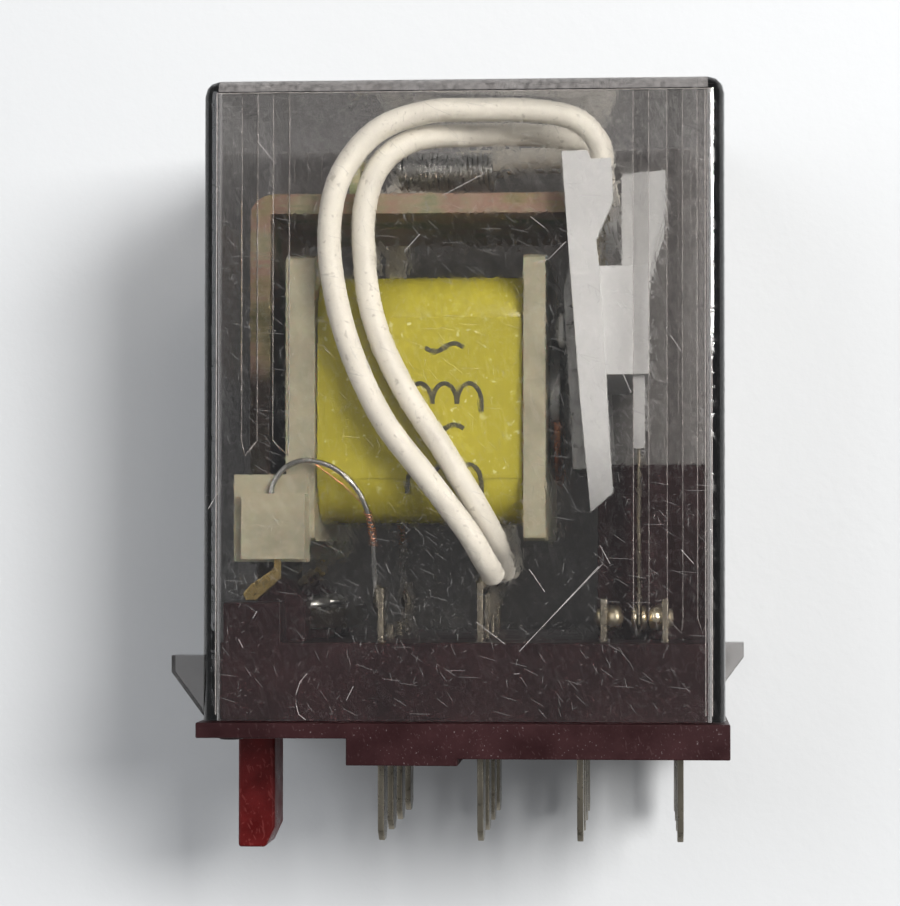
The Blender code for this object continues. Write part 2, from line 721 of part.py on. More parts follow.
def build_core(steel):
    groove_z = COIL_Z - 2.0 * MM
    shoulder = YOKE_LEFT + STEEL + PIECE_FIT
    profile = [
        (YOKE_LEFT - 0.3 * MM, CORE_NECK_RADIUS * 0.85),
        (YOKE_LEFT, CORE_NECK_RADIUS),
        (shoulder, CORE_NECK_RADIUS),
        (shoulder, CORE_RADIUS),
        (POLE_FACE_X - POLE_THICKNESS, CORE_RADIUS),
        (POLE_FACE_X - POLE_THICKNESS, POLE_RADIUS),
        (POLE_FACE_X - 0.1 * MM, POLE_RADIUS),
        (POLE_FACE_X, POLE_RADIUS - 0.1 * MM),
    ]
    core = turned("X", profile, (0, COIL_Z), 28)
    width = RING_WIRE / 2 + PIECE_FIT
    depth = POLE_FACE_X - POLE_THICKNESS * 0.75
    groove_y = (-2 * POLE_RADIUS, 2 * POLE_RADIUS)
    groove = box((depth, POLE_FACE_X + 1 * MM), groove_y, (groove_z - width, groove_z + width))
    add("core", cut(core, groove), steel)


def ring_outline(radius, top):
    """The part of a circle round the core's axis that lies below a level."""
    reach = radius * radius - (top - COIL_Z) ** 2
    start = Vector((reach**0.5, top - COIL_Z))
    low = start.angle_signed(Vector((1, 0)))
    count = 16
    outline = []
    for k in range(count + 1):
        turn = low - (pi + 2 * low) * k / count
        outline.append((radius * cos(turn), COIL_Z + radius * sin(turn)))
    return outline


def build_shading_ring(copper):
    """A copper loop through the groove of the pole face and round its lower part."""
    groove_z = COIL_Z - 2.0 * MM
    inner = ring_outline(POLE_RADIUS + PIECE_FIT, groove_z - RING_WIRE / 2)
    outer = ring_outline(POLE_RADIUS + PIECE_FIT + RING_WIRE, groove_z + RING_WIRE / 2)
    low = POLE_FACE_X - POLE_THICKNESS * 0.75 + PIECE_FIT
    add("shading_ring", sleeve("X", outer, inner, low, POLE_FACE_X), copper)


def terminal_lug(front):
    """A nylon lug at the foot of the coil-end flange, stepped forward, on the front side."""
    right = COIL_X0 + 1.7 * MM
    z0 = LUG_Z
    back = box((right - 5.3 * MM, right), (-FLANGE_Y - 1.0 * MM, -FLANGE_Y + 0.4 * MM), (z0, z0 + 6.3 * MM))
    step_y = (-FLANGE_Y - 2.0 * MM, -FLANGE_Y - 0.8 * MM)
    step = box((right - 4.6 * MM, right - 0.02 * MM), step_y, (z0 + 0.2 * MM, z0 + 4.9 * MM))
    lug = union(back, step)
    hole = cylinder("Z", JUMPER_HOLE, 0.3 * MM, z0 + 3.4 * MM, z0 + 5.9 * MM, 8)
    slot = box(
        (TAG_SLOT_X - 0.35 * MM, TAG_SLOT_X + 0.35 * MM),
        (JUMPER_HOLE[1] - 0.3 * MM, JUMPER_HOLE[1] + 0.3 * MM),
        (z0 - 1 * MM, z0 + 2.2 * MM),
    )
    lug = cut(lug, hole, slot)
    return lug if front else mirrored(lug)


def build_bobbin(nylon):
    flange_z = (FLANGE_Z1 - FLANGE_Z0) / 2
    outline = rounded(FLANGE_Y, flange_z, 0.8 * MM, (0, COIL_Z), 2)
    tube_radius = CORE_RADIUS + PIECE_FIT + BOBBIN_WALL
    coil_end = prism("X", outline, COIL_X0, COIL_X0 + FLANGE_COIL_END)
    pole_end = prism("X", outline, COIL_X1 - FLANGE_POLE_END, COIL_X1)
    middle = (COIL_X0 + FLANGE_COIL_END / 2, COIL_X1 - FLANGE_POLE_END / 2)
    tube = cylinder("X", (0, COIL_Z), tube_radius, *middle, 24)
    bobbin = union(coil_end, tube, pole_end, terminal_lug(True), terminal_lug(False))
    bore = cylinder("X", (0, COIL_Z), CORE_RADIUS + PIECE_FIT, COIL_X0 - 1 * MM, COIL_X1 + 1 * MM, 24)
    add("bobbin", cut(bobbin, bore), nylon)


def build_winding(copper, yellow):
    """The copper winding round the bobbin's tube and the tape round the winding."""
    x0 = COIL_X0 + FLANGE_COIL_END + PIECE_FIT
    x1 = COIL_X1 - FLANGE_POLE_END - PIECE_FIT
    outer = rounded(WIND_Y, WIND_Z, 3.5 * MM, (0, COIL_Z), 5)
    radius = CORE_RADIUS + 2 * PIECE_FIT + BOBBIN_WALL
    inner = [
        (radius * cos(turn), COIL_Z + radius * sin(turn))
        for turn in (2 * pi * (k + 0.5) / len(outer) for k in range(len(outer)))
    ]
    add("winding", sleeve("X", outer, inner, x0, x1), copper)
    inside = rounded(WIND_Y + TAPE_FIT, WIND_Z + TAPE_FIT, 3.55 * MM, (0, COIL_Z), 5)
    outside = rounded(WIND_Y + TAPE_FIT + TAPE, WIND_Z + TAPE_FIT + TAPE, 3.75 * MM, (0, COIL_Z), 5)
    add("coil_tape", sleeve("X", outside, inside, x0, x1), yellow)


# ---------------------------------------------------------------- moving pieces


def build_armature(steel, hinge):
    """The clapper plate, drawn shut against the pole face and then opened by its travel."""
    x, t = POLE_FACE_X + RESIDUAL_GAP, ARMATURE_STEEL
    bend = HINGE_Z - 6.5 * MM
    low = COIL_Z - POLE_RADIUS
    top = SPRING_Z + 1.2 * MM
    outline = [
        (x, low),
        (x, bend),
        (HINGE_X, bend + 2.2 * MM),
        (HINGE_X, top),
        (HINGE_X + t, top),
        (HINGE_X + t, bend + 1.9 * MM),
        (x + t, bend - 0.3 * MM),
        (x + t, low),
    ]
    plate = prism("Y", opened(outline), -YOKE_Y, YOKE_Y)
    reach = (x - 3 * MM, HINGE_X + 5 * MM)
    cuts = [
        box(reach, sorted((s * TAIL_WIDTH / 2, s * 2 * YOKE_Y)), (YOKE_TOP + 0.4 * MM, top + 2 * MM))
        for s in (-1, 1)
    ]
    cuts.append(cylinder("X", (0, SPRING_Z), 2 * SPRING_WIRE, *reach, 10))
    for side in (-1, 1):
        centre = (side * PEG_Y, PEG_Z)
        cuts.append(cylinder("X", centre, PEG_RADIUS + 0.2 * MM, *reach, 14))
    add("armature", cut(plate, joined(cuts)), steel, hinge)


def cheek_outline():
    """The side cheek's outline, from the hinge down and from the leaf spring inwards."""
    x, z = HINGE_X, HINGE_Z
    return [
        (x - 0.32 * MM, z + 3.25 * MM),
        (x + 1.5 * MM, z + 3.3 * MM),
        (x + 1.79 * MM, z + 2.67 * MM),
        (x + 3.24 * MM, z + 2.74 * MM),
        (x + 3.39 * MM, z - 0.23 * MM),
        (x + 2.15 * MM, z - 3.14 * MM),
        (x + 2.37 * MM, BLOCK_Z1),
        (x + 2.88 * MM, BLOCK_Z0),
        (x + 3.1 * MM, BLOCK_Z0 - 4.0 * MM),
        (x + 3.35 * MM, BLOCK_Z0 - 8.5 * MM),
        (x + 1.75 * MM, BLOCK_Z0 - 9.9 * MM),
        (x + 1.28 * MM, BLOCK_Z0 - 5.0 * MM),
        (x + 0.99 * MM, BLOCK_Z0 - 1.7 * MM),
        (x + 0.26 * MM, BLOCK_Z1),
        (x + 0.05 * MM, z - 1.9 * MM),
    ]


def carrier_partitions():
    """Upright plates on the cross-bar, one between each two poles."""
    x0, x1 = LEAF_X - 1.3 * MM, LEAF_X + 1.95 * MM
    outline = [
        (x0, BLOCK_Z1 - 1.5 * MM),
        (x0, HINGE_Z + 2.4 * MM),
        (x1, HINGE_Z + 2.7 * MM),
        (x1, HINGE_Z - 0.4 * MM),
        (x1 - 1.0 * MM, HINGE_Z - 3.6 * MM),
        (x1 - 1.25 * MM, BLOCK_Z1 - 1.5 * MM),
    ]
    middles = [(a + b) / 2 for a, b in zip(ROW_Y, ROW_Y[1:], strict=False)]
    half = PARTITION_WALL / 2
    return [prism("Y", outline, y - half, y + half) for y in middles]


def carrier_peg(side):
    """A peg through the armature with a staked head on the far side."""
    head = opened([(POLE_FACE_X + RESIDUAL_GAP, PEG_Z)])[0][0] - 0.15 * MM
    profile = [
        (head - 0.55 * MM, PEG_RADIUS),
        (head - 0.35 * MM, PEG_RADIUS * 1.6),
        (head, PEG_RADIUS * 1.6),
        (head, PEG_RADIUS),
        (BAR_X0 + 0.5 * MM, PEG_RADIUS),
    ]
    return turned("X", profile, (side * PEG_Y, PEG_Z), 14)


def leaf_path(low):
    return [
        (LEAF_X, low),
        (LEAF_X, BLOCK_Z0 + 3.2 * MM),
        (TAG_X, BLOCK_Z1 - 2.0 * MM),
        (TAG_X, HINGE_Z + 1.6 * MM),
    ]


def build_carrier(white, hinge):
    cheeks = []
    for side in (-1, 1):
        cheeks.append(prism("Y", cheek_outline(), *sorted((side * CHEEK_Y0, side * CHEEK_Y1))))
    bar = box((BAR_X0, BAR_X1), (-CHEEK_Y0 - 0.3 * MM, CHEEK_Y0 + 0.3 * MM), (BLOCK_Z0, BLOCK_Z1))
    tongues = []
    for y in ROW_Y:
        half = LEAF_WIDTH / 2 + 0.45 * MM
        reach = (LEAF_X - 0.42 * MM, LEAF_X + 0.42 * MM)
        tongues.append(box(reach, (y - half, y + half), (TONGUE_Z, BLOCK_Z0 + 1 * MM)))
    carrier = union(bar, joined(cheeks), joined(tongues + carrier_partitions()))
    carrier = union(carrier, joined([carrier_peg(-1), carrier_peg(1)]))
    slots = []
    width = LEAF_WIDTH / 2 + LEAF_FIT
    for y in ROW_Y:
        path = leaf_path(TONGUE_Z - 1 * MM)
        slots.append(prism("Y", ribbon(path, SPRING_LEAF + 2 * LEAF_FIT), y - width, y + width))
    add("contact_carrier", cut(carrier, joined(slots)), white, hinge)


def build_leaves(bronze, silver, hinge, flex):
    """The leaf springs in the carrier, and the double-headed contacts at their lower ends."""
    path = leaf_path(CONTACT_Z - 1.05 * MM)
    leaf = prism("Y", ribbon(path, SPRING_LEAF), -LEAF_WIDTH / 2, LEAF_WIDTH / 2)
    hole = cylinder("X", (0, CONTACT_Z), HOLE_RADIUS, LEAF_X - STRIP, LEAF_X + STRIP, 12)
    add_at_rows("moving_spring", cut(leaf, hole), bronze, ROW_Y, hinge)
    seat = SPRING_LEAF / 2 + HEAD_GAP
    half = [
        (MOVING_HALF, CONTACT_RADIUS * 0.3),
        (MOVING_HALF - 0.05 * MM, CONTACT_RADIUS * 0.7),
        (MOVING_HALF - 0.2 * MM, CONTACT_RADIUS * 0.95),
        (seat, CONTACT_RADIUS * 0.95),
        (seat, SHANK_RADIUS),
    ]
    profile = [(LEAF_X - x, r) for x, r in half] + [(LEAF_X + x, r) for x, r in reversed(half)]
    add_at_rows("moving_contact", turned("X", profile, (0, CONTACT_Z), 14), silver, ROW_Y, flex)


def build_return_spring(steel):
    """A close-wound tension spring from the yoke's lug to the armature's tail."""
    x0, x1 = LUG_X + 2.7 * MM, HINGE_X - 5.3 * MM
    steps = 10 * SPRING_TURNS
    coil = []
    for k in range(steps + 1):
        turn = 2 * pi * k / 10
        x = x0 + (x1 - x0) * k / steps
        coil.append((x, SPRING_RADIUS * cos(turn), SPRING_Z + SPRING_RADIUS * sin(turn)))
    left = [(LUG_X - 1.2 * MM, 0, SPRING_Z + 0.9 * MM), (LUG_X - 1.0 * MM, 0, SPRING_Z)]
    left += [(x0 - 0.7 * MM, 0, SPRING_Z)]
    tail = opened([(HINGE_X + ARMATURE_STEEL, SPRING_Z)])[0][0]
    right = [(x1 + 0.7 * MM, 0, SPRING_Z), (tail + 0.6 * MM, 0, SPRING_Z)]
    right += [(tail + 0.8 * MM, 0, SPRING_Z + 0.9 * MM)]
    add_cord("return_spring", left + coil + right, SPRING_WIRE, steel)


# ---------------------------------------------------------------- leads


def route(points, back):
    """A route in millimetres as points in metres, on the front side or mirrored to the back."""
    return [Vector((x, -y if back else y, z)) * MM for x, y, z in points]


# What the drawn routes pass along each axis, where it is drawn in millimetres and where it stands
ROUTE_X = ((-14.05, -6.1, 1.1, 9.65), (JUMPER_HOLE[0], COLUMN_X[0], COLUMN_X[1], TAG_X))
ROUTE_Y = ((-12.7, -10.2, -9.3, -3.1), (-INNER_Y, -FLANGE_Y, ROW_Y[0], ROW_Y[1]))
ROUTE_Z = ((8.15, 15.4, 36.2, 40.75, 47.5), (PLINTH_TOP, FLANGE_Z0, FLANGE_Z1, YOKE_TOP, INNER_TOP))


def fitted(value, drawn, standing):
    """A drawn coordinate in millimetres, moved with the pieces on either side of it."""
    real = [place / MM for place in standing]
    for a, b, c, d in zip(drawn, drawn[1:], real, real[1:], strict=False):
        if a <= value <= b:
            return c + (d - c) * (value - a) / (b - a)
    end = 0 if value < drawn[0] else -1
    return value + real[end] - drawn[end]


def fitted_route(points):
    return [(fitted(x, *ROUTE_X), fitted(y, *ROUTE_Y), fitted(z, *ROUTE_Z)) for x, y, z in points]


OUTER_LEAD = [
    (2.05, -9.6, 12.85),
    (1.35, -11.0, 14.2),
    (0.2, -11.7, 16.2),
    (-2.6, -11.78, 19.9),
    (-5.85, -11.78, 24.2),
    (-8.2, -11.78, 29.3),
    (-9.45, -11.78, 34.3),
    (-9.65, -11.78, 38.4),
    (-8.75, -11.76, 41.9),
    (-6.3, -11.6, 44.9),
    (-2.7, -11.3, 46.3),
    (1.0, -10.9, 46.5),
    (5.2, -10.3, 46.5),
    (8.1, -9.7, 45.9),
    (9.7, -9.35, 44.2),
    (9.9, -9.3, 42.5),
]
INNER_LEAD = [
    (2.4, -3.5, 13.1),
    (2.3, -5.6, 14.0),
    (2.1, -8.2, 15.3),
    (1.1, -10.2, 17.5),
    (-1.5, -10.7, 21.9),
    (-4.5, -10.85, 26.6),
    (-6.6, -10.9, 31.5),
    (-7.3, -10.9, 36.5),
    (-7.1, -10.9, 40.2),
    (-5.9, -10.7, 42.9),
    (-3.5, -9.9, 44.6),
    (0.2, -7.9, 45.2),
    (4.4, -5.6, 45.6),
    (8.0, -3.8, 45.4),
    (9.6, -3.2, 44.0),
    (9.9, -3.1, 42.5),
]
JUMPER = [
    (-13.93, -11.6, 18.0),
    (-13.85, -11.58, 19.2),
    (-13.4, -11.5, 20.1),
    (-12.8, -11.4, 20.75),
    (-11.7, -11.3, 21.2),
    (-10.6, -11.15, 21.1),
    (-9.5, -11.0, 20.7),
    (-8.45, -10.9, 19.9),
    (-7.6, -10.6, 18.8),
    (-7.0, -10.3, 17.3),
    (-6.75, -9.95, 15.9),
    (-6.66, -9.6, 13.8),
    (-6.64, -9.45, 12.3),
    (-6.64, -9.4, 11.2),
]


def build_leads(insulation, tinned):
    step = 2.4 * LEAD_DIAMETER / MM
    outer, inner = (smooth_route(fitted_route(r), step) for r in (OUTER_LEAD, INNER_LEAD))
    for number, (points, back) in enumerate(((outer, 0), (inner, 0), (inner, 1), (outer, 1)), start=1):
        add_cord(f"lead_{number}", route(points, back), LEAD_DIAMETER, insulation)
    jumper = smooth_route(fitted_route(JUMPER), 2.5 * JUMPER_DIAMETER / MM)
    for number in (1, 2):
        add_cord(f"coil_lead_{number}", route(jumper, number == 2), JUMPER_DIAMETER, tinned)


def build_coil_tags(brass):
    """Bent brass tags that stand in the bobbin's lugs and take the ends of the winding."""
    x, z = TAG_SLOT_X, LUG_Z
    outline = [
        (x - 0.25 * MM, z + 1.9 * MM),
        (x - 0.25 * MM, z - 0.5 * MM),
        (x - 1.9 * MM, z - 1.6 * MM),
        (x - 2.5 * MM, z - 2.3 * MM),
        (x - 2.3 * MM, z - 2.8 * MM),
        (x - 1.5 * MM, z - 2.75 * MM),
        (x + 0.25 * MM, z - 1.2 * MM),
        (x + 0.25 * MM, z + 1.9 * MM),
    ]
    y = JUMPER_HOLE[1]
    for number, side in ((1, 1), (2, -1)):
        limits = sorted((side * (y - 0.2 * MM), side * (y + 0.2 * MM)))
        add(f"coil_tag_{number}", prism("Y", outline, *limits), brass)


# ---------------------------------------------------------------- the whole relay


def clear_scene():
    for obj in list(bpy.context.scene.objects):
        bpy.data.objects.remove(obj, do_unlink=True)


def main():
    clear_scene()
    burgundy = new_material("burgundy_plastic", (0.055, 0.018, 0.02), 0.45)
    red = new_material("red_plastic", (0.22, 0.012, 0.012), 0.4)
    clear = new_material("clear_plastic", (0.75, 0.73, 0.7), 0.05, alpha=0.25)
    white = new_material("white_plastic", (0.72, 0.73, 0.72), 0.5)
    nylon = new_material("natural_nylon", (0.5, 0.48, 0.36), 0.45)
    yellow = new_material("yellow_tape", (0.72, 0.6, 0.06), 0.35)
    chromated = new_material("chromated_steel", (0.62, 0.5, 0.28), 0.3, 1.0)
    steel = new_material("bright_steel", (0.6, 0.6, 0.58), 0.35, 1.0)
    copper = new_material("copper", (0.75, 0.36, 0.2), 0.35, 1.0)
    bronze = new_material("spring_bronze", (0.65, 0.5, 0.3), 0.3, 1.0)
    brass = new_material("brass", (0.7, 0.55, 0.2), 0.3, 1.0)
    silver = new_material("contact_silver", (0.85, 0.83, 0.78), 0.25, 1.0)
    tinned = new_material("tinned_brass", (0.72, 0.68, 0.58), 0.3, 1.0)
    insulation = new_material("lead_insulation", (0.66, 0.62, 0.53), 0.5)
    hinge = pivot("armature_pivot", (HINGE_X, 0, HINGE_Z))
    flex = pivot("contact_pivot", (LEAF_X, 0, TONGUE_Z), hinge)
    build_base(burgundy)
    build_key(red)
    build_frame_rivets(steel)
    build_cover(clear)
    build_yoke(chromated)
    build_core(steel)
    build_shading_ring(copper)
    build_bobbin(nylon)
    build_winding(copper, yellow)
    build_coil_tags(brass)
    build_terminals(tinned)
    build_rivets(silver)
    build_armature(steel, hinge)
    build_carrier(white, hinge)
    build_leaves(bronze, silver, hinge, flex)
    build_return_spring(steel)
    build_leads(insulation, tinned)


main()
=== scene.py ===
"""Gives the plug-in relay its finished shapes and surfaces, and stands it in a plain pale studio.

The relay's frame is loaded first. Each operator below makes one group of its pieces from the
frame's own sizes, and the panel in the 3D view's sidebar lists them. Everything is in metres.
"""

from math import cos, pi, radians, sin

import bmesh
import bpy
from bpy.props import FloatProperty, FloatVectorProperty, IntProperty, PointerProperty
from mathutils import Matrix, Vector, noise


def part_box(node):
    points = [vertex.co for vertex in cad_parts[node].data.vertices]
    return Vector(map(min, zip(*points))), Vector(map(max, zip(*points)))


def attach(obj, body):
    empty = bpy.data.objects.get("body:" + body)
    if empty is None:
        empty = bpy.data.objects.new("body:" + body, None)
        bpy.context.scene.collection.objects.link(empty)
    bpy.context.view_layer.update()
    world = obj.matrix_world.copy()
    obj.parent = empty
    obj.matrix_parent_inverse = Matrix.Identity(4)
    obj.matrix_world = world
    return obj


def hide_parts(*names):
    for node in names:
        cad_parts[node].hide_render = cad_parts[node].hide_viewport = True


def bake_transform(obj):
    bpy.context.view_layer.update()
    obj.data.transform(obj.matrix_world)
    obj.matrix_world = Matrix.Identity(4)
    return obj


bl_info = {
    "name": "Plug-in Relay",
    "version": (1, 0, 0),
    "blender": (4, 5, 0),
    "location": "View3D > Sidebar > Relay",
    "description": "Finished pieces, surfaces and a studio for a plug-in control relay",
    "category": "Object",
}

MM = 0.001
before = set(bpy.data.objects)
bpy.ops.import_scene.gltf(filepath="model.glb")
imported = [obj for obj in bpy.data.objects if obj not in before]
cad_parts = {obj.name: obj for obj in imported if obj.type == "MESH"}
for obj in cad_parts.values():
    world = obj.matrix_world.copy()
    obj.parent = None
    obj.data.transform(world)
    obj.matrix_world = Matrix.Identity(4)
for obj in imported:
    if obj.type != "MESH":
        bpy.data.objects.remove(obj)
COVER_LOW, COVER_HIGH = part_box("cover")
BASE_LOW, BASE_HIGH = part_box("base")
TAPE_LOW, TAPE_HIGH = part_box("coil_tape")
YOKE_LOW, YOKE_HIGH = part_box("yoke")
ROWS = [sum(box.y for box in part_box(f"common_terminal_{i}")) / 2 for i in range(1, 5)]


# ---------------------------------------------------------------- sizes and colours


class RelaySizes(bpy.types.PropertyGroup):
    """Fine sizes that the frame doesn't hold."""

    plastic_edge: FloatProperty(
        name="Plastic edge", description="Rounding along the edges of moulded plastic pieces",
        default=0.14 * MM, min=0.01 * MM, subtype="DISTANCE", unit="LENGTH",
    )
    metal_edge: FloatProperty(
        name="Metal edge", description="Rounding along the edges of stamped metal pieces",
        default=0.07 * MM, min=0.01 * MM, subtype="DISTANCE", unit="LENGTH",
    )
    cover_corner: FloatProperty(
        name="Cover corner", description="Outer rounding of the clear cover",
        default=1.2 * MM, min=0.2 * MM, subtype="DISTANCE", unit="LENGTH",
    )
    cover_wall: FloatProperty(
        name="Cover wall", description="Thickness of the clear cover's walls",
        default=1.0 * MM, min=0.4 * MM, subtype="DISTANCE", unit="LENGTH",
    )
    lead_radius: FloatProperty(
        name="Lead radius", description="Radius of a pole's insulated lead",
        default=0.85 * MM, min=0.2 * MM, subtype="DISTANCE", unit="LENGTH",
    )
    jumper_radius: FloatProperty(
        name="Coil wire radius", description="Radius of the bare wire from the coil to its blade",
        default=0.2 * MM, min=0.05 * MM, subtype="DISTANCE", unit="LENGTH",
    )
    spring_radius: FloatProperty(
        name="Spring radius", description="Radius of the return spring's coil at the wire's middle",
        default=1.3 * MM, min=0.5 * MM, subtype="DISTANCE", unit="LENGTH",
    )
    spring_turns: IntProperty(
        name="Spring turns", description="Turns of wire in the return spring", default=19, min=3,
    )
    smoke_density: FloatProperty(
        name="Smoke density", description="How fast the cover's plastic takes up light, per metre",
        default=560.0, min=0.0,
    )
    scratch_count: IntProperty(
        name="Scratches", description="Fine scratches on each large side of the cover",
        default=2200, min=0,
    )


def colour(name, description, default):
    """A colour property with its name, description and default."""
    return FloatVectorProperty(
        name=name, description=description, default=default, size=3, min=0, max=1, subtype="COLOR",
    )


class RelayColours(bpy.types.PropertyGroup):
    """Colours of the relay's plastics, metals and studio."""

    burgundy: colour("Base", "Burgundy moulding of the base", (0.015, 0.003, 0.0037))
    red: colour("Key", "Red moulding of the coding key", (0.08, 0.0025, 0.0025))
    smoke: colour("Cover", "Tint of the smoky clear cover", (0.9, 0.885, 0.872))
    smoke_depth: colour("Cover depth", "What the cover's plastic lets through", (0.32, 0.3, 0.29))
    white: colour("Carrier", "White moulding of the contact carrier", (0.63, 0.64, 0.64))
    nylon: colour("Bobbin", "Milky nylon of the bobbin", (0.4, 0.37, 0.26))
    tape: colour("Tape", "Yellow film round the winding", (0.53, 0.47, 0.04))
    shade_through: colour("Cover shade", "Lamp light that one wall lets by", (0.83, 0.83, 0.825))
    insulation: colour("Leads", "Insulation of the pole leads", (0.87, 0.84, 0.745))
    copper: colour("Copper", "Copper wire and shading ring", (0.78, 0.34, 0.18))
    brass: colour("Brass", "Brass tags", (0.72, 0.53, 0.2))
    tin: colour("Tin", "Tinned blades and wires", (0.46, 0.41, 0.32))
    steel: colour("Steel", "Plated steel of the core and rivets", (0.6, 0.6, 0.58))
    gilt: colour("Contacts", "Gold-flashed silver of the contacts", (0.95, 0.84, 0.62))
    studio: colour("Studio", "Pale floor that the relay lies on", (0.5, 0.507, 0.515))


def sizes():
    """The scene's fine sizes."""
    return bpy.context.scene.relay_sizes


def colours():
    """The scene's colours."""
    return bpy.context.scene.relay_colours


# ---------------------------------------------------------------- shapes


def on_axis(axis, a, b, along):
    """The point at a, b in the plane across an axis, and at along on it."""
    return {"X": (along, a, b), "Y": (a, along, b), "Z": (a, b, along)}[axis]


def prism(axis, outline, low, high):
    """An outline in the plane across an axis, carried from low to high along it."""
    bm = bmesh.new()
    ends = [[bm.verts.new(on_axis(axis, a, b, c)) for a, b in outline] for c in (low, high)]
    for i in range(len(outline)):
        j = (i + 1) % len(outline)
        bm.faces.new((ends[0][i], ends[0][j], ends[1][j], ends[1][i]))
    bm.faces.new(ends[0][::-1])
    bm.faces.new(ends[1])
    bmesh.ops.recalc_face_normals(bm, faces=bm.faces)
    return bm


def block(x, y, z):
    """A box from three pairs of limits."""
    return prism("Z", [(x[0], y[0]), (x[1], y[0]), (x[1], y[1]), (x[0], y[1])], *z)


def turned(axis, profile, centre, sides=40):
    """A profile of (along, radius) points turned about an axis through centre."""
    bm = bmesh.new()
    rings = []
    for along, radius in profile:
        count = sides if radius > 0 else 1
        ring = []
        for k in range(count):
            turn = 2 * pi * k / sides
            a, b = centre[0] + radius * cos(turn), centre[1] + radius * sin(turn)
            ring.append(bm.verts.new(on_axis(axis, a, b, along)))
        rings.append(ring)
    for one, two in zip(rings, rings[1:], strict=False):
        for k in range(sides):
            m = (k + 1) % sides
            corners = [one[k % len(one)], one[m % len(one)], two[m % len(two)], two[k % len(two)]]
            bm.faces.new(list(dict.fromkeys(corners)))
    for ring in (rings[0], rings[-1]):
        if len(ring) > 1:
            bm.faces.new(ring)
    bmesh.ops.recalc_face_normals(bm, faces=bm.faces)
    return bm


def blob(centre, size, seed, detail=3):
    """A rounded lump, such as solder, a little uneven."""
    bm = bmesh.new()
    bmesh.ops.create_icosphere(bm, subdivisions=detail, radius=1)
    for vert in bm.verts:
        swell = 1 + 0.16 * noise.noise(vert.co * 1.6 + Vector((seed, 0, 0)))
        vert.co = Vector(centre) + Vector(s * c * swell for s, c in zip(size, vert.co, strict=True))
    return bm


def mesh_of(*shapes):
    """One mesh of several shapes, which are used up."""
    whole = bmesh.new()
    for bm in shapes:
        part = bpy.data.meshes.new("part")
        bm.to_mesh(part)
        bm.free()
        whole.from_mesh(part)
        bpy.data.meshes.remove(part)
    mesh = bpy.data.meshes.new("shape")
    whole.to_mesh(mesh)
    whole.free()
    return mesh


def placed(name, mesh):
    """A new object at the origin."""
    obj = bpy.data.objects.new(name, mesh)
    bpy.context.scene.collection.objects.link(obj)
    return obj


def evaluated(obj):
    """Turns an object's modifiers into plain mesh."""
    graph = bpy.context.evaluated_depsgraph_get()
    mesh = bpy.data.meshes.new_from_object(obj.evaluated_get(graph))
    obj.modifiers.clear()
    old, obj.data = obj.data, mesh
    mesh.name = obj.name
    if isinstance(old, bpy.types.Mesh):
        bpy.data.meshes.remove(old)
    return obj


def eased(obj, width, segments=2, angle=30):
    """Rounds an object's sharp edges and keeps its flat faces flat to the light."""
    obj.data.shade_smooth()
    if width:
        bevel = obj.modifiers.new("edges", "BEVEL")
        bevel.width = width
        bevel.segments = segments
        bevel.limit_method = "ANGLE"
        bevel.angle_limit = radians(angle)
        bevel.use_clamp_overlap = True
    weighted = obj.modifiers.new("normals", "WEIGHTED_NORMAL")
    weighted.weight = 100
    weighted.keep_sharp = True
    return evaluated(obj)


def merged_copy(node, name=None):
    """A copy of a frame node whose loose triangles are joined up again."""
    bm = bmesh.new()
    bm.from_mesh(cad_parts[node].data)
    bmesh.ops.remove_doubles(bm, verts=bm.verts, dist=2e-6)
    bmesh.ops.dissolve_limit(bm, angle_limit=radians(0.7), verts=bm.verts, edges=bm.edges)
    mesh = bpy.data.meshes.new(node)
    bm.to_mesh(mesh)
    bm.free()
    return placed(name or f"{node}_finished", mesh)


def hand_over(obj, material, body="root", replaces=()):
    """Gives a finished piece its material and its body, and hides the frame nodes that it stands for."""
    obj.data.materials.clear()
    obj.data.materials.append(material)
    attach(obj, body)
    if replaces:
        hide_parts(*replaces)
    return obj


def numbered(name, count=4):
    """The names of a set of like frame nodes."""
    return [f"{name}_{i}" for i in range(1, count + 1)]


def evenly(low, high, count):
    """Values from low to high in a count of even steps."""
    return [low + (high - low) * k / count for k in range(count + 1)]


def smooth_route(points, step):
    """Points at even steps along a smooth curve through a route's own points."""
    route = [Vector(p) for p in points]
    ends = [2 * route[0] - route[1], *route, 2 * route[-1] - route[-2]]
    dense, parts = [], 24
    for a, b, c, d in zip(ends, ends[1:], ends[2:], ends[3:], strict=False):
        for k in range(parts):
            t = k / parts
            bend = 2 * b + (c - a) * t + (2 * a - 5 * b + 4 * c - d) * t**2
            dense.append((bend + (3 * b - a - 3 * c + d) * t**3) / 2)
    dense.append(route[-1])
    length = sum((q - p).length for p, q in zip(dense, dense[1:], strict=False))
    count = max(2, round(length / step))
    result, run, target = [dense[0]], 0.0, length / count
    for p, q in zip(dense, dense[1:], strict=False):
        gap = (q - p).length
        while run + gap >= target and len(result) < count:
            result.append(p.lerp(q, (target - run) / gap))
            target += length / count
        run += gap
    return [*result, dense[-1]]


def mirror_y(points):
    """The same route on the other side of the relay's middle."""
    return [Vector((p.x, -p.y, p.z)) for p in points]


def path_mesh(routes):
    """Loose edges along one or more routes, for a tree that sweeps a wire along them."""
    bm = bmesh.new()
    for points in routes:
        verts = [bm.verts.new(p) for p in points]
        for a, b in zip(verts, verts[1:], strict=False):
            bm.edges.new((a, b))
    mesh = bpy.data.meshes.new("path")
    bm.to_mesh(mesh)
    bm.free()
    return mesh


# ---------------------------------------------------------------- geometry trees


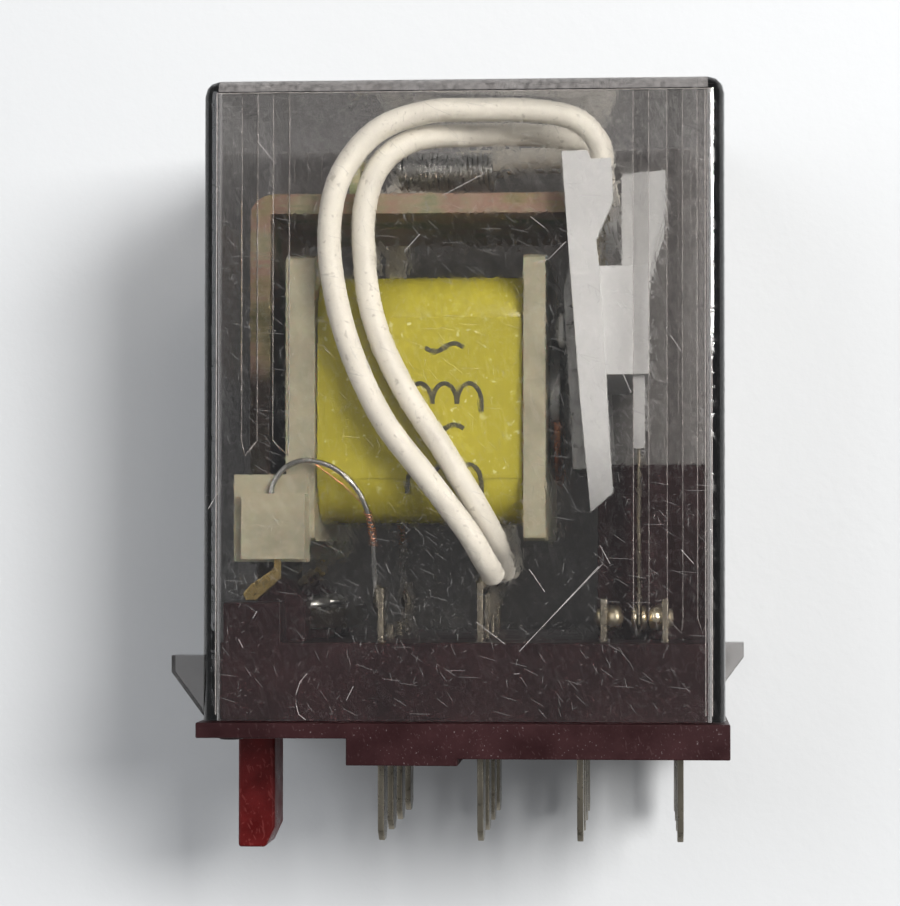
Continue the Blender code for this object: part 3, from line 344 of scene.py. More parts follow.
def tree_socket(tree, name, kind, default=None):
    """A named input of a tree, with the value that it has when nothing is given."""
    socket = tree.interface.new_socket(name, in_out="INPUT", socket_type=kind)
    if default is not None:
        socket.default_value = default


def new_tree(name):
    """An empty geometry tree that takes a shape in and gives one out."""
    tree = bpy.data.node_groups.new(name, "GeometryNodeTree")
    tree.interface.new_socket("Geometry", in_out="INPUT", socket_type="NodeSocketGeometry")
    tree.interface.new_socket("Geometry", in_out="OUTPUT", socket_type="NodeSocketGeometry")
    return tree


def tree_end(tree, geometry, source):
    """Realize Instances, Set Shade Smooth and Set Material, and the way out."""
    nodes, links = tree.nodes, tree.links
    realize = nodes.new("GeometryNodeRealizeInstances")
    smooth = nodes.new("GeometryNodeSetShadeSmooth")
    material = nodes.new("GeometryNodeSetMaterial")
    out = nodes.new("NodeGroupOutput")
    links.new(geometry, realize.inputs["Geometry"])
    links.new(realize.outputs["Geometry"], smooth.inputs["Geometry"])
    links.new(smooth.outputs["Geometry"], material.inputs["Geometry"])
    links.new(source.outputs["Material"], material.inputs["Material"])
    links.new(material.outputs["Geometry"], out.inputs["Geometry"])


def grow(obj, tree, **values):
    """Runs a tree on an object with the values of its named inputs, and keeps the plain mesh."""
    modifier = obj.modifiers.new(tree.name, "NODES")
    modifier.node_group = tree
    for item in tree.interface.items_tree:
        if item.item_type == "SOCKET" and item.in_out == "INPUT" and item.name in values:
            modifier[item.identifier] = values[item.name]
    return evaluated(obj)


def wire_tree():
    """Sweeps a round wire with closed ends along every path of the mesh that it is given."""
    tree = bpy.data.node_groups.get("Wire along a path")
    if tree:
        return tree
    tree = new_tree("Wire along a path")
    tree_socket(tree, "Radius", "NodeSocketFloat", 0.001)
    tree_socket(tree, "Sides", "NodeSocketInt", 24)
    tree_socket(tree, "Material", "NodeSocketMaterial")
    nodes, links = tree.nodes, tree.links
    source = nodes.new("NodeGroupInput")
    curve = nodes.new("GeometryNodeMeshToCurve")
    circle = nodes.new("GeometryNodeCurvePrimitiveCircle")
    sweep = nodes.new("GeometryNodeCurveToMesh")
    sweep.inputs["Fill Caps"].default_value = True
    links.new(source.outputs["Geometry"], curve.inputs["Mesh"])
    links.new(source.outputs["Sides"], circle.inputs["Resolution"])
    links.new(source.outputs["Radius"], circle.inputs["Radius"])
    links.new(curve.outputs["Curve"], sweep.inputs["Curve"])
    links.new(circle.outputs["Curve"], sweep.inputs["Profile Curve"])
    tree_end(tree, sweep.outputs["Mesh"], source)
    return tree


def rows_tree():
    """Repeats the mesh that it is given along Y, one copy for each pole."""
    tree = bpy.data.node_groups.get("Repeat across the poles")
    if tree:
        return tree
    tree = new_tree("Repeat across the poles")
    tree_socket(tree, "Count", "NodeSocketInt", 4)
    tree_socket(tree, "First", "NodeSocketFloat", 0.0)
    tree_socket(tree, "Pitch", "NodeSocketFloat", 0.006)
    tree_socket(tree, "Material", "NodeSocketMaterial")
    nodes, links = tree.nodes, tree.links
    source = nodes.new("NodeGroupInput")
    start = nodes.new("ShaderNodeCombineXYZ")
    step = nodes.new("ShaderNodeCombineXYZ")
    line = nodes.new("GeometryNodeMeshLine")
    copies = nodes.new("GeometryNodeInstanceOnPoints")
    links.new(source.outputs["First"], start.inputs["Y"])
    links.new(source.outputs["Pitch"], step.inputs["Y"])
    links.new(source.outputs["Count"], line.inputs["Count"])
    links.new(start.outputs["Vector"], line.inputs["Start Location"])
    links.new(step.outputs["Vector"], line.inputs["Offset"])
    links.new(line.outputs["Mesh"], copies.inputs["Points"])
    links.new(source.outputs["Geometry"], copies.inputs["Instance"])
    tree_end(tree, copies.outputs["Instances"], source)
    return tree


def scatter_tree():
    """Lays fine slivers at random places and turns over the faces that it is given."""
    tree = bpy.data.node_groups.get("Scratches over a face")
    if tree:
        return tree
    tree = new_tree("Scratches over a face")
    tree_socket(tree, "Density", "NodeSocketFloat", 1000.0)
    tree_socket(tree, "Length", "NodeSocketFloat", 0.001)
    tree_socket(tree, "Width", "NodeSocketFloat", 0.00003)
    tree_socket(tree, "Seed", "NodeSocketInt", 1)
    tree_socket(tree, "Material", "NodeSocketMaterial")
    nodes, links = tree.nodes, tree.links
    source = nodes.new("NodeGroupInput")
    points = nodes.new("GeometryNodeDistributePointsOnFaces")
    sliver = nodes.new("GeometryNodeMeshCube")
    spin = nodes.new("FunctionNodeRandomValue")
    spin.data_type = "FLOAT"
    spin.inputs["Max"].default_value = 2 * pi
    stretch = nodes.new("FunctionNodeRandomValue")
    stretch.data_type = "FLOAT"
    stretch.inputs["Max"].default_value = 1.0
    power = nodes.new("ShaderNodeMath")
    power.operation = "POWER"
    power.inputs[1].default_value = 4.0
    longer = nodes.new("ShaderNodeMath")
    longer.operation = "MULTIPLY_ADD"
    longer.inputs[1].default_value = 3.2
    longer.inputs[2].default_value = 0.35
    size = nodes.new("ShaderNodeCombineXYZ")
    scale = nodes.new("ShaderNodeCombineXYZ")
    scale.inputs["Y"].default_value = 1.0
    scale.inputs["Z"].default_value = 1.0
    turn = nodes.new("ShaderNodeCombineXYZ")
    aim = nodes.new("FunctionNodeRotateRotation")
    aim.rotation_space = "LOCAL"
    copies = nodes.new("GeometryNodeInstanceOnPoints")
    links.new(source.outputs["Geometry"], points.inputs["Mesh"])
    links.new(source.outputs["Density"], points.inputs["Density"])
    links.new(source.outputs["Seed"], points.inputs["Seed"])
    links.new(source.outputs["Seed"], spin.inputs["Seed"])
    links.new(source.outputs["Seed"], stretch.inputs["Seed"])
    links.new(source.outputs["Length"], size.inputs["X"])
    links.new(source.outputs["Width"], size.inputs["Y"])
    links.new(source.outputs["Width"], size.inputs["Z"])
    links.new(size.outputs["Vector"], sliver.inputs["Size"])
    links.new(stretch.outputs[1], power.inputs[0])
    links.new(power.outputs[0], longer.inputs[0])
    links.new(longer.outputs[0], scale.inputs["X"])
    links.new(spin.outputs[1], turn.inputs["Z"])
    links.new(points.outputs["Rotation"], aim.inputs["Rotation"])
    links.new(turn.outputs["Vector"], aim.inputs["Rotate By"])
    links.new(points.outputs["Points"], copies.inputs["Points"])
    links.new(sliver.outputs["Mesh"], copies.inputs["Instance"])
    links.new(aim.outputs["Rotation"], copies.inputs["Rotation"])
    links.new(scale.outputs["Vector"], copies.inputs["Scale"])
    tree_end(tree, copies.outputs["Instances"], source)
    return tree


def across_poles(obj, material, rows=None):
    """Repeats a piece modelled at Y = 0 on each row."""
    rows = rows or ROWS
    pitch = (rows[-1] - rows[0]) / (len(rows) - 1)
    return grow(obj, rows_tree(), Count=len(rows), First=rows[0], Pitch=pitch, Material=material)


def wire(name, routes, radius, material, sides=24):
    """A round wire along one or more routes."""
    path = placed(name, path_mesh(routes))
    return grow(path, wire_tree(), Radius=radius, Sides=sides, Material=material)


# ---------------------------------------------------------------- shader groups


def new_group(name, inputs, outputs):
    """An empty shader group with its sockets, each given as name, kind and default."""
    group = bpy.data.node_groups.new(name, "ShaderNodeTree")
    for label, kind, default in inputs:
        socket = group.interface.new_socket(label, in_out="INPUT", socket_type=kind)
        if default is not None:
            socket.default_value = default
    for label, kind in outputs:
        group.interface.new_socket(label, in_out="OUTPUT", socket_type=kind)
    return group, group.nodes.new("NodeGroupInput"), group.nodes.new("NodeGroupOutput")


def node(tree, kind, values=None, **settings):
    """A node with its settings and the plain values of its inputs."""
    made = tree.nodes.new(kind)
    for key, value in settings.items():
        setattr(made, key, value)
    for key, value in (values or {}).items():
        made.inputs[key].default_value = value
    return made


def cloud_group():
    """Slow and fast variation over a surface: a cloud, a fine grain and a mask of small specks."""
    group = bpy.data.node_groups.get("Clouds, grain and specks")
    if group:
        return group
    group, source, out = new_group(
        "Clouds, grain and specks",
        [
            ("Vector", "NodeSocketVector", None),
            ("Cloud Scale", "NodeSocketFloat", 200.0),
            ("Grain Scale", "NodeSocketFloat", 4000.0),
            ("Speck Scale", "NodeSocketFloat", 2500.0),
            ("Speck Level", "NodeSocketFloat", 0.7),
        ],
        [("Cloud", "NodeSocketFloat"), ("Grain", "NodeSocketFloat"), ("Specks", "NodeSocketFloat")],
    )
    links = group.links
    cloud = node(group, "ShaderNodeTexNoise", {"Detail": 5.0, "Roughness": 0.6})
    grain = node(group, "ShaderNodeTexNoise", {"Detail": 3.0, "Roughness": 0.6})
    speck = node(group, "ShaderNodeTexNoise", {"Detail": 2.0, "Roughness": 0.5})
    patch = node(group, "ShaderNodeMath", {1: 0.22}, operation="MULTIPLY_ADD")
    edge = node(group, "ShaderNodeMath", {1: 0.03}, operation="ADD")
    mask = node(group, "ShaderNodeMapRange", {"To Min": 0.0, "To Max": 1.0}, clamp=True)
    for texture, scale in ((cloud, "Cloud Scale"), (grain, "Grain Scale"), (speck, "Speck Scale")):
        links.new(source.outputs["Vector"], texture.inputs["Vector"])
        links.new(source.outputs[scale], texture.inputs["Scale"])
    links.new(cloud.outputs["Fac"], patch.inputs[0])
    links.new(speck.outputs["Fac"], patch.inputs[2])
    links.new(source.outputs["Speck Level"], edge.inputs[0])
    links.new(patch.outputs["Value"], mask.inputs["Value"])
    links.new(source.outputs["Speck Level"], mask.inputs["From Min"])
    links.new(edge.outputs["Value"], mask.inputs["From Max"])
    links.new(cloud.outputs["Fac"], out.inputs["Cloud"])
    links.new(grain.outputs["Fac"], out.inputs["Grain"])
    links.new(mask.outputs["Result"], out.inputs["Specks"])
    return group


def rub_group():
    """A mask of long thin rub marks in three directions, broken up by a slow cloud."""
    group = bpy.data.node_groups.get("Rub marks")
    if group:
        return group
    group, source, out = new_group(
        "Rub marks",
        [
            ("Vector", "NodeSocketVector", None),
            ("Scale", "NodeSocketFloat", 60.0),
            ("Level", "NodeSocketFloat", 0.62),
        ],
        [("Marks", "NodeSocketFloat")],
    )
    links = group.links
    total = None
    turns = ((0.9, 1.0, 0.5), (1.4, -0.5, 1.1), (-0.8, 1.9, 2.3))
    for turn in turns:
        stretch = {"Rotation": turn, "Scale": (1.0, 1 / 24, 1 / 24)}
        place = node(group, "ShaderNodeMapping", stretch, vector_type="TEXTURE")
        streak = node(group, "ShaderNodeTexNoise", {"Detail": 1.0, "Roughness": 0.4})
        crest = node(group, "ShaderNodeMapRange", {"To Min": 0.0, "To Max": 1.0}, clamp=True)
        edge = node(group, "ShaderNodeMath", {1: 0.05}, operation="ADD")
        links.new(source.outputs["Vector"], place.inputs["Vector"])
        links.new(place.outputs["Vector"], streak.inputs["Vector"])
        links.new(source.outputs["Scale"], streak.inputs["Scale"])
        links.new(streak.outputs["Fac"], crest.inputs["Value"])
        links.new(source.outputs["Level"], crest.inputs["From Min"])
        links.new(source.outputs["Level"], edge.inputs[0])
        links.new(edge.outputs["Value"], crest.inputs["From Max"])
        if total is None:
            total = crest.outputs["Result"]
            continue
        larger = node(group, "ShaderNodeMath", operation="MAXIMUM")
        links.new(total, larger.inputs[0])
        links.new(crest.outputs["Result"], larger.inputs[1])
        total = larger.outputs["Value"]
    links.new(total, out.inputs["Marks"])
    return group


def brushed_group():
    """Grain drawn out along one axis, as on rolled strip and drawn wire."""
    group = bpy.data.node_groups.get("Rolled grain")
    if group:
        return group
    group, source, out = new_group(
        "Rolled grain",
        [
            ("Vector", "NodeSocketVector", None),
            ("Stretch", "NodeSocketVector", (1.0, 1.0, 0.06)),
            ("Scale", "NodeSocketFloat", 6000.0),
        ],
        [("Grain", "NodeSocketFloat")],
    )
    links = group.links
    scale = node(group, "ShaderNodeVectorMath", operation="MULTIPLY")
    texture = node(group, "ShaderNodeTexNoise", {"Detail": 4.0, "Roughness": 0.65})
    links.new(source.outputs["Vector"], scale.inputs[0])
    links.new(source.outputs["Stretch"], scale.inputs[1])
    links.new(scale.outputs["Vector"], texture.inputs["Vector"])
    links.new(source.outputs["Scale"], texture.inputs["Scale"])
    links.new(texture.outputs["Fac"], out.inputs["Grain"])
    return group


# ---------------------------------------------------------------- materials


class Surface:
    """A material under construction: a Principled shader, Object coordinates and small helpers."""

    def __init__(self, name):
        self.material = bpy.data.materials.new(name)
        self.material.use_nodes = True
        self.tree = self.material.node_tree
        self.shader = self.tree.nodes["Principled BSDF"]
        self.place = self.tree.nodes.new("ShaderNodeTexCoord").outputs["Object"]

    def set(self, **values):
        """Plain values on the shader's own sockets."""
        for key, value in values.items():
            self.shader.inputs[key.replace("_", " ")].default_value = value

    def link(self, output, socket):
        """An output into one of the shader's sockets."""
        self.tree.links.new(output, self.shader.inputs[socket])

    def group(self, tree, **values):
        """A shader group placed in the material with its own values."""
        made = node(self.tree, "ShaderNodeGroup", node_tree=tree)
        self.tree.links.new(self.place, made.inputs["Vector"])
        for key, value in values.items():
            made.inputs[key.replace("_", " ")].default_value = value
        return made

    def mix(self, factor, a, b):
        """A colour between two, each a plain colour or an output."""
        made = node(self.tree, "ShaderNodeMix", data_type="RGBA")
        self.tree.links.new(factor, made.inputs[0])
        for socket, value in ((made.inputs[6], a), (made.inputs[7], b)):
            if isinstance(value, bpy.types.NodeSocket):
                self.tree.links.new(value, socket)
            else:
                socket.default_value = (*value, 1.0)
        return made.outputs[2]

    def scaled(self, output, low, high, from_low=0.0, from_high=1.0):
        """A value stretched so that from_low becomes low and from_high becomes high."""
        made = node(
            self.tree, "ShaderNodeMapRange",
            {"From Min": from_low, "From Max": from_high, "To Min": low, "To Max": high},
        )
        self.tree.links.new(output, made.inputs["Value"])
        return made.outputs["Result"]

    def bump(self, output, distance, strength):
        """The normal of a height that varies over the surface."""
        made = node(self.tree, "ShaderNodeBump", {"Distance": distance, "Strength": strength})
        self.tree.links.new(output, made.inputs["Height"])
        return made.outputs["Normal"]

    def ramp(self, output, *stops):
        """The colours that a value picks out, each stop a position and a colour."""
        made = node(self.tree, "ShaderNodeValToRGB")
        elements = made.color_ramp.elements
        while len(elements) < len(stops):
            elements.new(0.5)
        for element, (position, value) in zip(elements, stops, strict=True):
            element.position = position
            element.color = (*value, 1.0)
        self.tree.links.new(output, made.inputs["Fac"])
        return made.outputs["Color"]

    def fade(self, colour, low, high, *stops):
        """A colour times grey levels that change with height, given from 0 at low to 1 at high: painted
        shade where a level is below 1, painted highlight where it is above.
        """
        height = node(self.tree, "ShaderNodeSeparateXYZ")
        self.tree.links.new(self.place, height.inputs["Vector"])
        painted_tones = self.ramp(self.scaled(height.outputs["Z"], 0.0, 1.0, low, high),
                          *((position, (tone,) * 3) for position, tone in stops))
        made = node(self.tree, "ShaderNodeMix", data_type="RGBA", blend_type="MULTIPLY")
        made.inputs[0].default_value = 1.0
        self.tree.links.new(colour, made.inputs[6])
        self.tree.links.new(painted_tones, made.inputs[7])
        return made.outputs[2]


def shade(value, factor):
    """A colour made lighter or darker, and no brighter than white."""
    return tuple(min(1.0, channel * factor) for channel in value)


def once(maker):
    """Keeps one material for each maker and its values, named after them."""
    def kept(*values):
        """The material, which is made the first time that it is asked for."""
        name = " ".join([maker.__name__.replace("_", " "), *(str(v) for v in values)])
        return bpy.data.materials.get(name) or maker(name, *values)
    return kept


@once
def burgundy_moulding(name):
    """Burgundy plastic with pale dust, rub marks and a dull bloom."""
    s = Surface(name)
    base = tuple(colours().burgundy)
    cloud = s.group(cloud_group(), Cloud_Scale=260.0, Speck_Scale=5200.0, Speck_Level=0.8)
    rub = s.group(rub_group(), Scale=260.0, Level=0.7)
    body = s.mix(s.scaled(cloud.outputs["Cloud"], 0, 1, 0.3, 0.7), shade(base, 0.75), shade(base, 1.5))
    rubbed, dust = (0.3, 0.2, 0.2), (0.5, 0.42, 0.42)
    marked = s.mix(s.scaled(rub.outputs["Marks"], 0.0, 0.05), body, rubbed)
    s.link(s.mix(s.scaled(cloud.outputs["Specks"], 0.0, 0.14), marked, dust), "Base Color")
    s.link(s.scaled(cloud.outputs["Cloud"], 0.3, 0.55, 0.3, 0.7), "Roughness")
    s.set(Specular_IOR_Level=0.16)
    s.link(s.bump(cloud.outputs["Grain"], 0.02 * MM, 0.35), "Normal")
    return s.material


@once
def red_moulding(name):
    """Red plastic, unevenly deep, with faint rub marks."""
    s = Surface(name)
    base = tuple(colours().red)
    cloud = s.group(cloud_group(), Cloud_Scale=420.0, Grain_Scale=2600.0, Speck_Level=0.8)
    rub = s.group(rub_group(), Scale=160.0, Level=0.66)
    body = s.mix(s.scaled(cloud.outputs["Cloud"], 0, 1, 0.35, 0.65), shade(base, 0.6), base)
    rubbed = (0.42, 0.12, 0.11)
    s.link(s.mix(s.scaled(rub.outputs["Marks"], 0.0, 0.1), body, rubbed), "Base Color")
    s.link(s.scaled(cloud.outputs["Cloud"], 0.25, 0.5, 0.3, 0.7), "Roughness")
    s.set(Specular_IOR_Level=0.16)
    s.link(s.bump(cloud.outputs["Grain"], 0.03 * MM, 0.5), "Normal")
    return s.material


@once
def white_moulding(name):
    """White plastic, a little cloudy, darkened towards the carrier's foot by painted shade."""
    s = Surface(name)
    base = tuple(colours().white)
    cloud = s.group(cloud_group(), Cloud_Scale=220.0, Grain_Scale=3000.0, Speck_Level=0.83)
    toned = s.mix(s.scaled(cloud.outputs["Cloud"], 0, 1, 0.3, 0.75), shade(base, 0.86), base)
    low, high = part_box("contact_carrier")
    # Painted shade, darker towards the carrier's foot.
    s.link(s.fade(toned, low.z, high.z, (0.02, 0.5), (0.26, 1.0)), "Base Color")
    s.link(s.scaled(cloud.outputs["Cloud"], 0.42, 0.55), "Roughness")
    s.link(s.bump(cloud.outputs["Grain"], 0.02 * MM, 0.4), "Normal")
    return s.material


@once
def milky_nylon(name):
    """Undyed nylon: cream, cloudy and a little see-through."""
    s = Surface(name)
    base = tuple(colours().nylon)
    cloud = s.group(cloud_group(), Cloud_Scale=300.0, Grain_Scale=2600.0, Speck_Level=0.8)
    toned = s.mix(s.scaled(cloud.outputs["Cloud"], 0, 1, 0.3, 0.7), shade(base, 0.7), shade(base, 1.15))
    s.link(toned, "Base Color")
    s.link(s.scaled(cloud.outputs["Cloud"], 0.34, 0.5), "Roughness")
    s.set(Subsurface_Weight=0.25, Subsurface_Scale=0.6 * MM)
    s.link(s.bump(cloud.outputs["Grain"], 0.02 * MM, 0.4), "Normal")
    return s.material


@once
def yellow_film(name):
    """Polyester tape: glossy, with the wire's ridges showing through."""
    s = Surface(name)
    base = tuple(colours().tape)
    cloud = s.group(cloud_group(), Cloud_Scale=190.0, Speck_Scale=1900.0, Speck_Level=0.78)
    ridges = s.group(brushed_group(), Stretch=(1.0, 0.04, 0.04), Scale=2600.0)
    tinted = s.mix(s.scaled(cloud.outputs["Cloud"], 0, 1, 0.35, 0.7), shade(base, 0.86), base)
    ridged = s.mix(s.scaled(ridges.outputs["Grain"], 0, 0.35, 0.35, 0.7), tinted, shade(base, 0.7))
    bubbles = (0.9, 0.87, 0.5)
    s.link(s.mix(s.scaled(cloud.outputs["Specks"], 0, 0.5), ridged, bubbles), "Base Color")
    s.link(s.scaled(cloud.outputs["Cloud"], 0.16, 0.34), "Roughness")
    s.set(Coat_Weight=0.3, Coat_Roughness=0.12)
    s.link(s.bump(ridges.outputs["Grain"], 0.03 * MM, 0.4), "Normal")
    return s.material


@once
def lead_insulation(name):
    """Soft off-white sleeving with small grey marks."""
    s = Surface(name)
    base = tuple(colours().insulation)
    cloud = s.group(cloud_group(), Cloud_Scale=330.0, Speck_Scale=2200.0, Speck_Level=0.77)
    body = s.mix(s.scaled(cloud.outputs["Cloud"], 0, 1, 0.3, 0.7), shade(base, 0.84), shade(base, 1.06))
    grime = (0.3, 0.27, 0.22)
    s.link(s.mix(s.scaled(cloud.outputs["Specks"], 0, 0.45), body, grime), "Base Color")
    s.link(s.scaled(cloud.outputs["Cloud"], 0.42, 0.6), "Roughness")
    s.set(Sheen_Weight=0.15)
    s.link(s.bump(cloud.outputs["Grain"], 0.03 * MM, 0.5), "Normal")
    return s.material


def rolled_metal(s, base, stretch, wear, roughness):
    """Sets up metal rolled along an axis and returns its colour, with grain and tarnish."""
    along = {"X": (0.05, 1.0, 1.0), "Y": (1.0, 0.05, 1.0), "Z": (1.0, 1.0, 0.05)}[stretch]
    cloud = s.group(cloud_group(), Cloud_Scale=420.0, Speck_Scale=2400.0, Speck_Level=0.76)
    rolled = s.group(brushed_group(), Stretch=along, Scale=5200.0)
    drawn = s.scaled(rolled.outputs["Grain"], 0, 1, 0.3, 0.7)
    toned = s.mix(drawn, shade(base, 0.86), shade(base, 1.08))
    tarnish = s.scaled(cloud.outputs["Cloud"], 0, wear, 0.42, 0.7)
    spotted = s.mix(tarnish, toned, shade(base, 0.42))
    s.link(s.scaled(cloud.outputs["Cloud"], roughness * 0.75, roughness * 1.5, 0.3, 0.75), "Roughness")
    s.set(Metallic=1.0)
    s.link(s.bump(rolled.outputs["Grain"], 0.012 * MM, 0.4), "Normal")
    return s.mix(s.scaled(cloud.outputs["Specks"], 0, wear), spotted, shade(base, 0.25))


@once
def metal(name, finish, roughness, stretch, wear):
    """Strip, plate or wire of one of the relay's metals."""
    s = Surface(name)
    s.link(rolled_metal(s, getattr(colours(), finish), stretch, wear, roughness), "Base Color")
    return s.material


@once
def tinned_blade(name):
    """Tinned strip, darker towards its lower end with painted shade and brighter inside the cover with a
    painted highlight.
    """
    s = Surface(name)
    toned = rolled_metal(s, colours().tin, "Z", 0.6, 0.24)
    low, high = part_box("common_terminal_1")
    # Painted shade towards the blade's lower end and a painted highlight towards its top.
    s.link(s.fade(toned, low.z, high.z, (0.3, 0.5), (0.8, 1.25)), "Base Color")
    return s.material


@once
def yellow_chromate(name):
    """Zinc plate passivated in straw, rose and green, which drift into each other, with painted
    shade on the lower half of the yoke and a painted highlight along its top."""
    s = Surface(name)
    drift = s.group(cloud_group(), Cloud_Scale=150.0, Speck_Scale=2200.0, Speck_Level=0.76)
    rolled = s.group(brushed_group(), Stretch=(0.06, 1.0, 1.0), Scale=3600.0)
    tone = node(s.tree, "ShaderNodeMath", {1: 0.3}, operation="MULTIPLY_ADD")
    s.tree.links.new(rolled.outputs["Grain"], tone.inputs[0])
    s.tree.links.new(drift.outputs["Cloud"], tone.inputs[2])
    olive, straw, rose = (0.42, 0.4, 0.17), (0.86, 0.7, 0.38), (0.96, 0.6, 0.46)
    gold, green, bare_zinc = (0.9, 0.78, 0.5), (0.5, 0.56, 0.3), (0.85, 0.82, 0.7)
    stops = (0.42, olive), (0.53, straw), (0.62, rose), (0.7, gold), (0.8, green)
    film = s.ramp(tone.outputs["Value"], *stops)
    speckled = s.mix(s.scaled(drift.outputs["Specks"], 0, 0.7), film, bare_zinc)
    # Painted shade darkens the yoke's lower half and a painted highlight brightens its top.
    painted_tones = (0.5, 0.03), (0.56, 0.3), (0.9, 0.4), (0.95, 1.35)
    s.link(s.fade(speckled, YOKE_LOW.z, YOKE_HIGH.z, *painted_tones), "Base Color")
    s.link(s.scaled(drift.outputs["Cloud"], 0.34, 0.55, 0.3, 0.7), "Roughness")
    s.set(Metallic=0.75)
    s.link(s.bump(rolled.outputs["Grain"], 0.015 * MM, 0.5), "Normal")
    return s.material


@once
def smoky_cover(name):
    """Clear smoky plastic with a fine haze of rubbing. Lamps reach what stands inside it."""
    s = Surface(name)
    cloud = s.group(cloud_group(), Cloud_Scale=110.0, Speck_Scale=1800.0, Speck_Level=0.74)
    rub = s.group(rub_group(), Scale=75.0, Level=0.63)
    worn = node(s.tree, "ShaderNodeMath", operation="MAXIMUM")
    s.tree.links.new(rub.outputs["Marks"], worn.inputs[0])
    s.tree.links.new(cloud.outputs["Specks"], worn.inputs[1])
    s.set(Base_Color=(*colours().smoke, 1.0), Transmission_Weight=1.0, IOR=1.49, Metallic=0.0)
    s.link(s.scaled(worn.outputs["Value"], 0.015, 0.2), "Roughness")
    s.link(s.bump(worn.outputs["Value"], 0.01 * MM, 0.25), "Normal")
    through = node(s.tree, "ShaderNodeBsdfTransparent", {"Color": (*colours().shade_through, 1.0)})
    mixed = node(s.tree, "ShaderNodeMixShader")
    path = node(s.tree, "ShaderNodeLightPath")
    s.tree.links.new(path.outputs["Is Shadow Ray"], mixed.inputs[0])
    s.tree.links.new(s.shader.outputs["BSDF"], mixed.inputs[1])
    s.tree.links.new(through.outputs["BSDF"], mixed.inputs[2])
    s.tree.links.new(mixed.outputs["Shader"], s.tree.nodes["Material Output"].inputs["Surface"])
    tint = (*colours().smoke_depth, 1.0)
    depth = node(s.tree, "ShaderNodeVolumeAbsorption", {"Color": tint, "Density": sizes().smoke_density})
    s.tree.links.new(depth.outputs["Volume"], s.tree.nodes["Material Output"].inputs["Volume"])
    return s.material


@once
def scratched_edge(name):
    """The bright torn plastic inside a scratch."""
    s = Surface(name)
    cloud = s.group(cloud_group(), Cloud_Scale=300.0)
    dull, bright = (0.5, 0.47, 0.45), (0.85, 0.83, 0.82)
    s.link(s.mix(cloud.outputs["Cloud"], dull, bright), "Base Color")
    s.set(Roughness=0.5, Alpha=0.22)
    return s.material


@once
def worn_edge(name, strength):
    """Pale plastic for the painted highlights along the cover's edges and ribs and on its top bands, and
    for the rubbed long scratches in its front.
    """
    s = Surface(name)
    cloud = s.group(cloud_group(), Cloud_Scale=420.0, Grain_Scale=2600.0)
    dull, bright = (0.55, 0.5, 0.48), (0.92, 0.88, 0.86)
    s.link(s.mix(cloud.outputs["Cloud"], dull, bright), "Base Color")
    s.link(s.scaled(cloud.outputs["Grain"], 0.45 * strength, strength, 0.35, 0.65), "Alpha")
    s.set(Roughness=0.35)
    return s.material


@once
def black_ink(name):
    """Printing ink that took unevenly on the film."""
    s = Surface(name)
    cloud = s.group(cloud_group(), Cloud_Scale=900.0, Speck_Level=0.7)
    thick, thin = (0.03, 0.03, 0.02), (0.1, 0.09, 0.04)
    s.link(s.mix(s.scaled(cloud.outputs["Cloud"], 0, 1, 0.3, 0.7), thick, thin), "Base Color")
    s.set(Roughness=0.6)
    return s.material


@once
def studio_surface(name):
    """Pale floor. Lamps reach through it to the relay's back, and it isn't seen from behind."""
    s = Surface(name)
    cloud = s.group(cloud_group(), Cloud_Scale=14.0, Grain_Scale=900.0)
    base = tuple(colours().studio)
    s.link(s.mix(cloud.outputs["Cloud"], shade(base, 0.97), shade(base, 1.03)), "Base Color")
    s.link(s.bump(cloud.outputs["Grain"], 0.1 * MM, 0.3), "Normal")
    s.set(Roughness=0.7, Specular_IOR_Level=0.3)
    clear = node(s.tree, "ShaderNodeBsdfTransparent")
    facing = node(s.tree, "ShaderNodeNewGeometry")
    path = node(s.tree, "ShaderNodeLightPath")
    open_way = node(s.tree, "ShaderNodeMath", operation="MAXIMUM")
    mixed = node(s.tree, "ShaderNodeMixShader")
    s.tree.links.new(facing.outputs["Backfacing"], open_way.inputs[0])
    s.tree.links.new(path.outputs["Is Shadow Ray"], open_way.inputs[1])
    s.tree.links.new(open_way.outputs["Value"], mixed.inputs[0])
    s.tree.links.new(s.shader.outputs["BSDF"], mixed.inputs[1])
    s.tree.links.new(clear.outputs["BSDF"], mixed.inputs[2])
    s.tree.links.new(mixed.outputs["Shader"], s.tree.nodes["Material Output"].inputs["Surface"])
    return s.material


# ---------------------------------------------------------------- the pieces


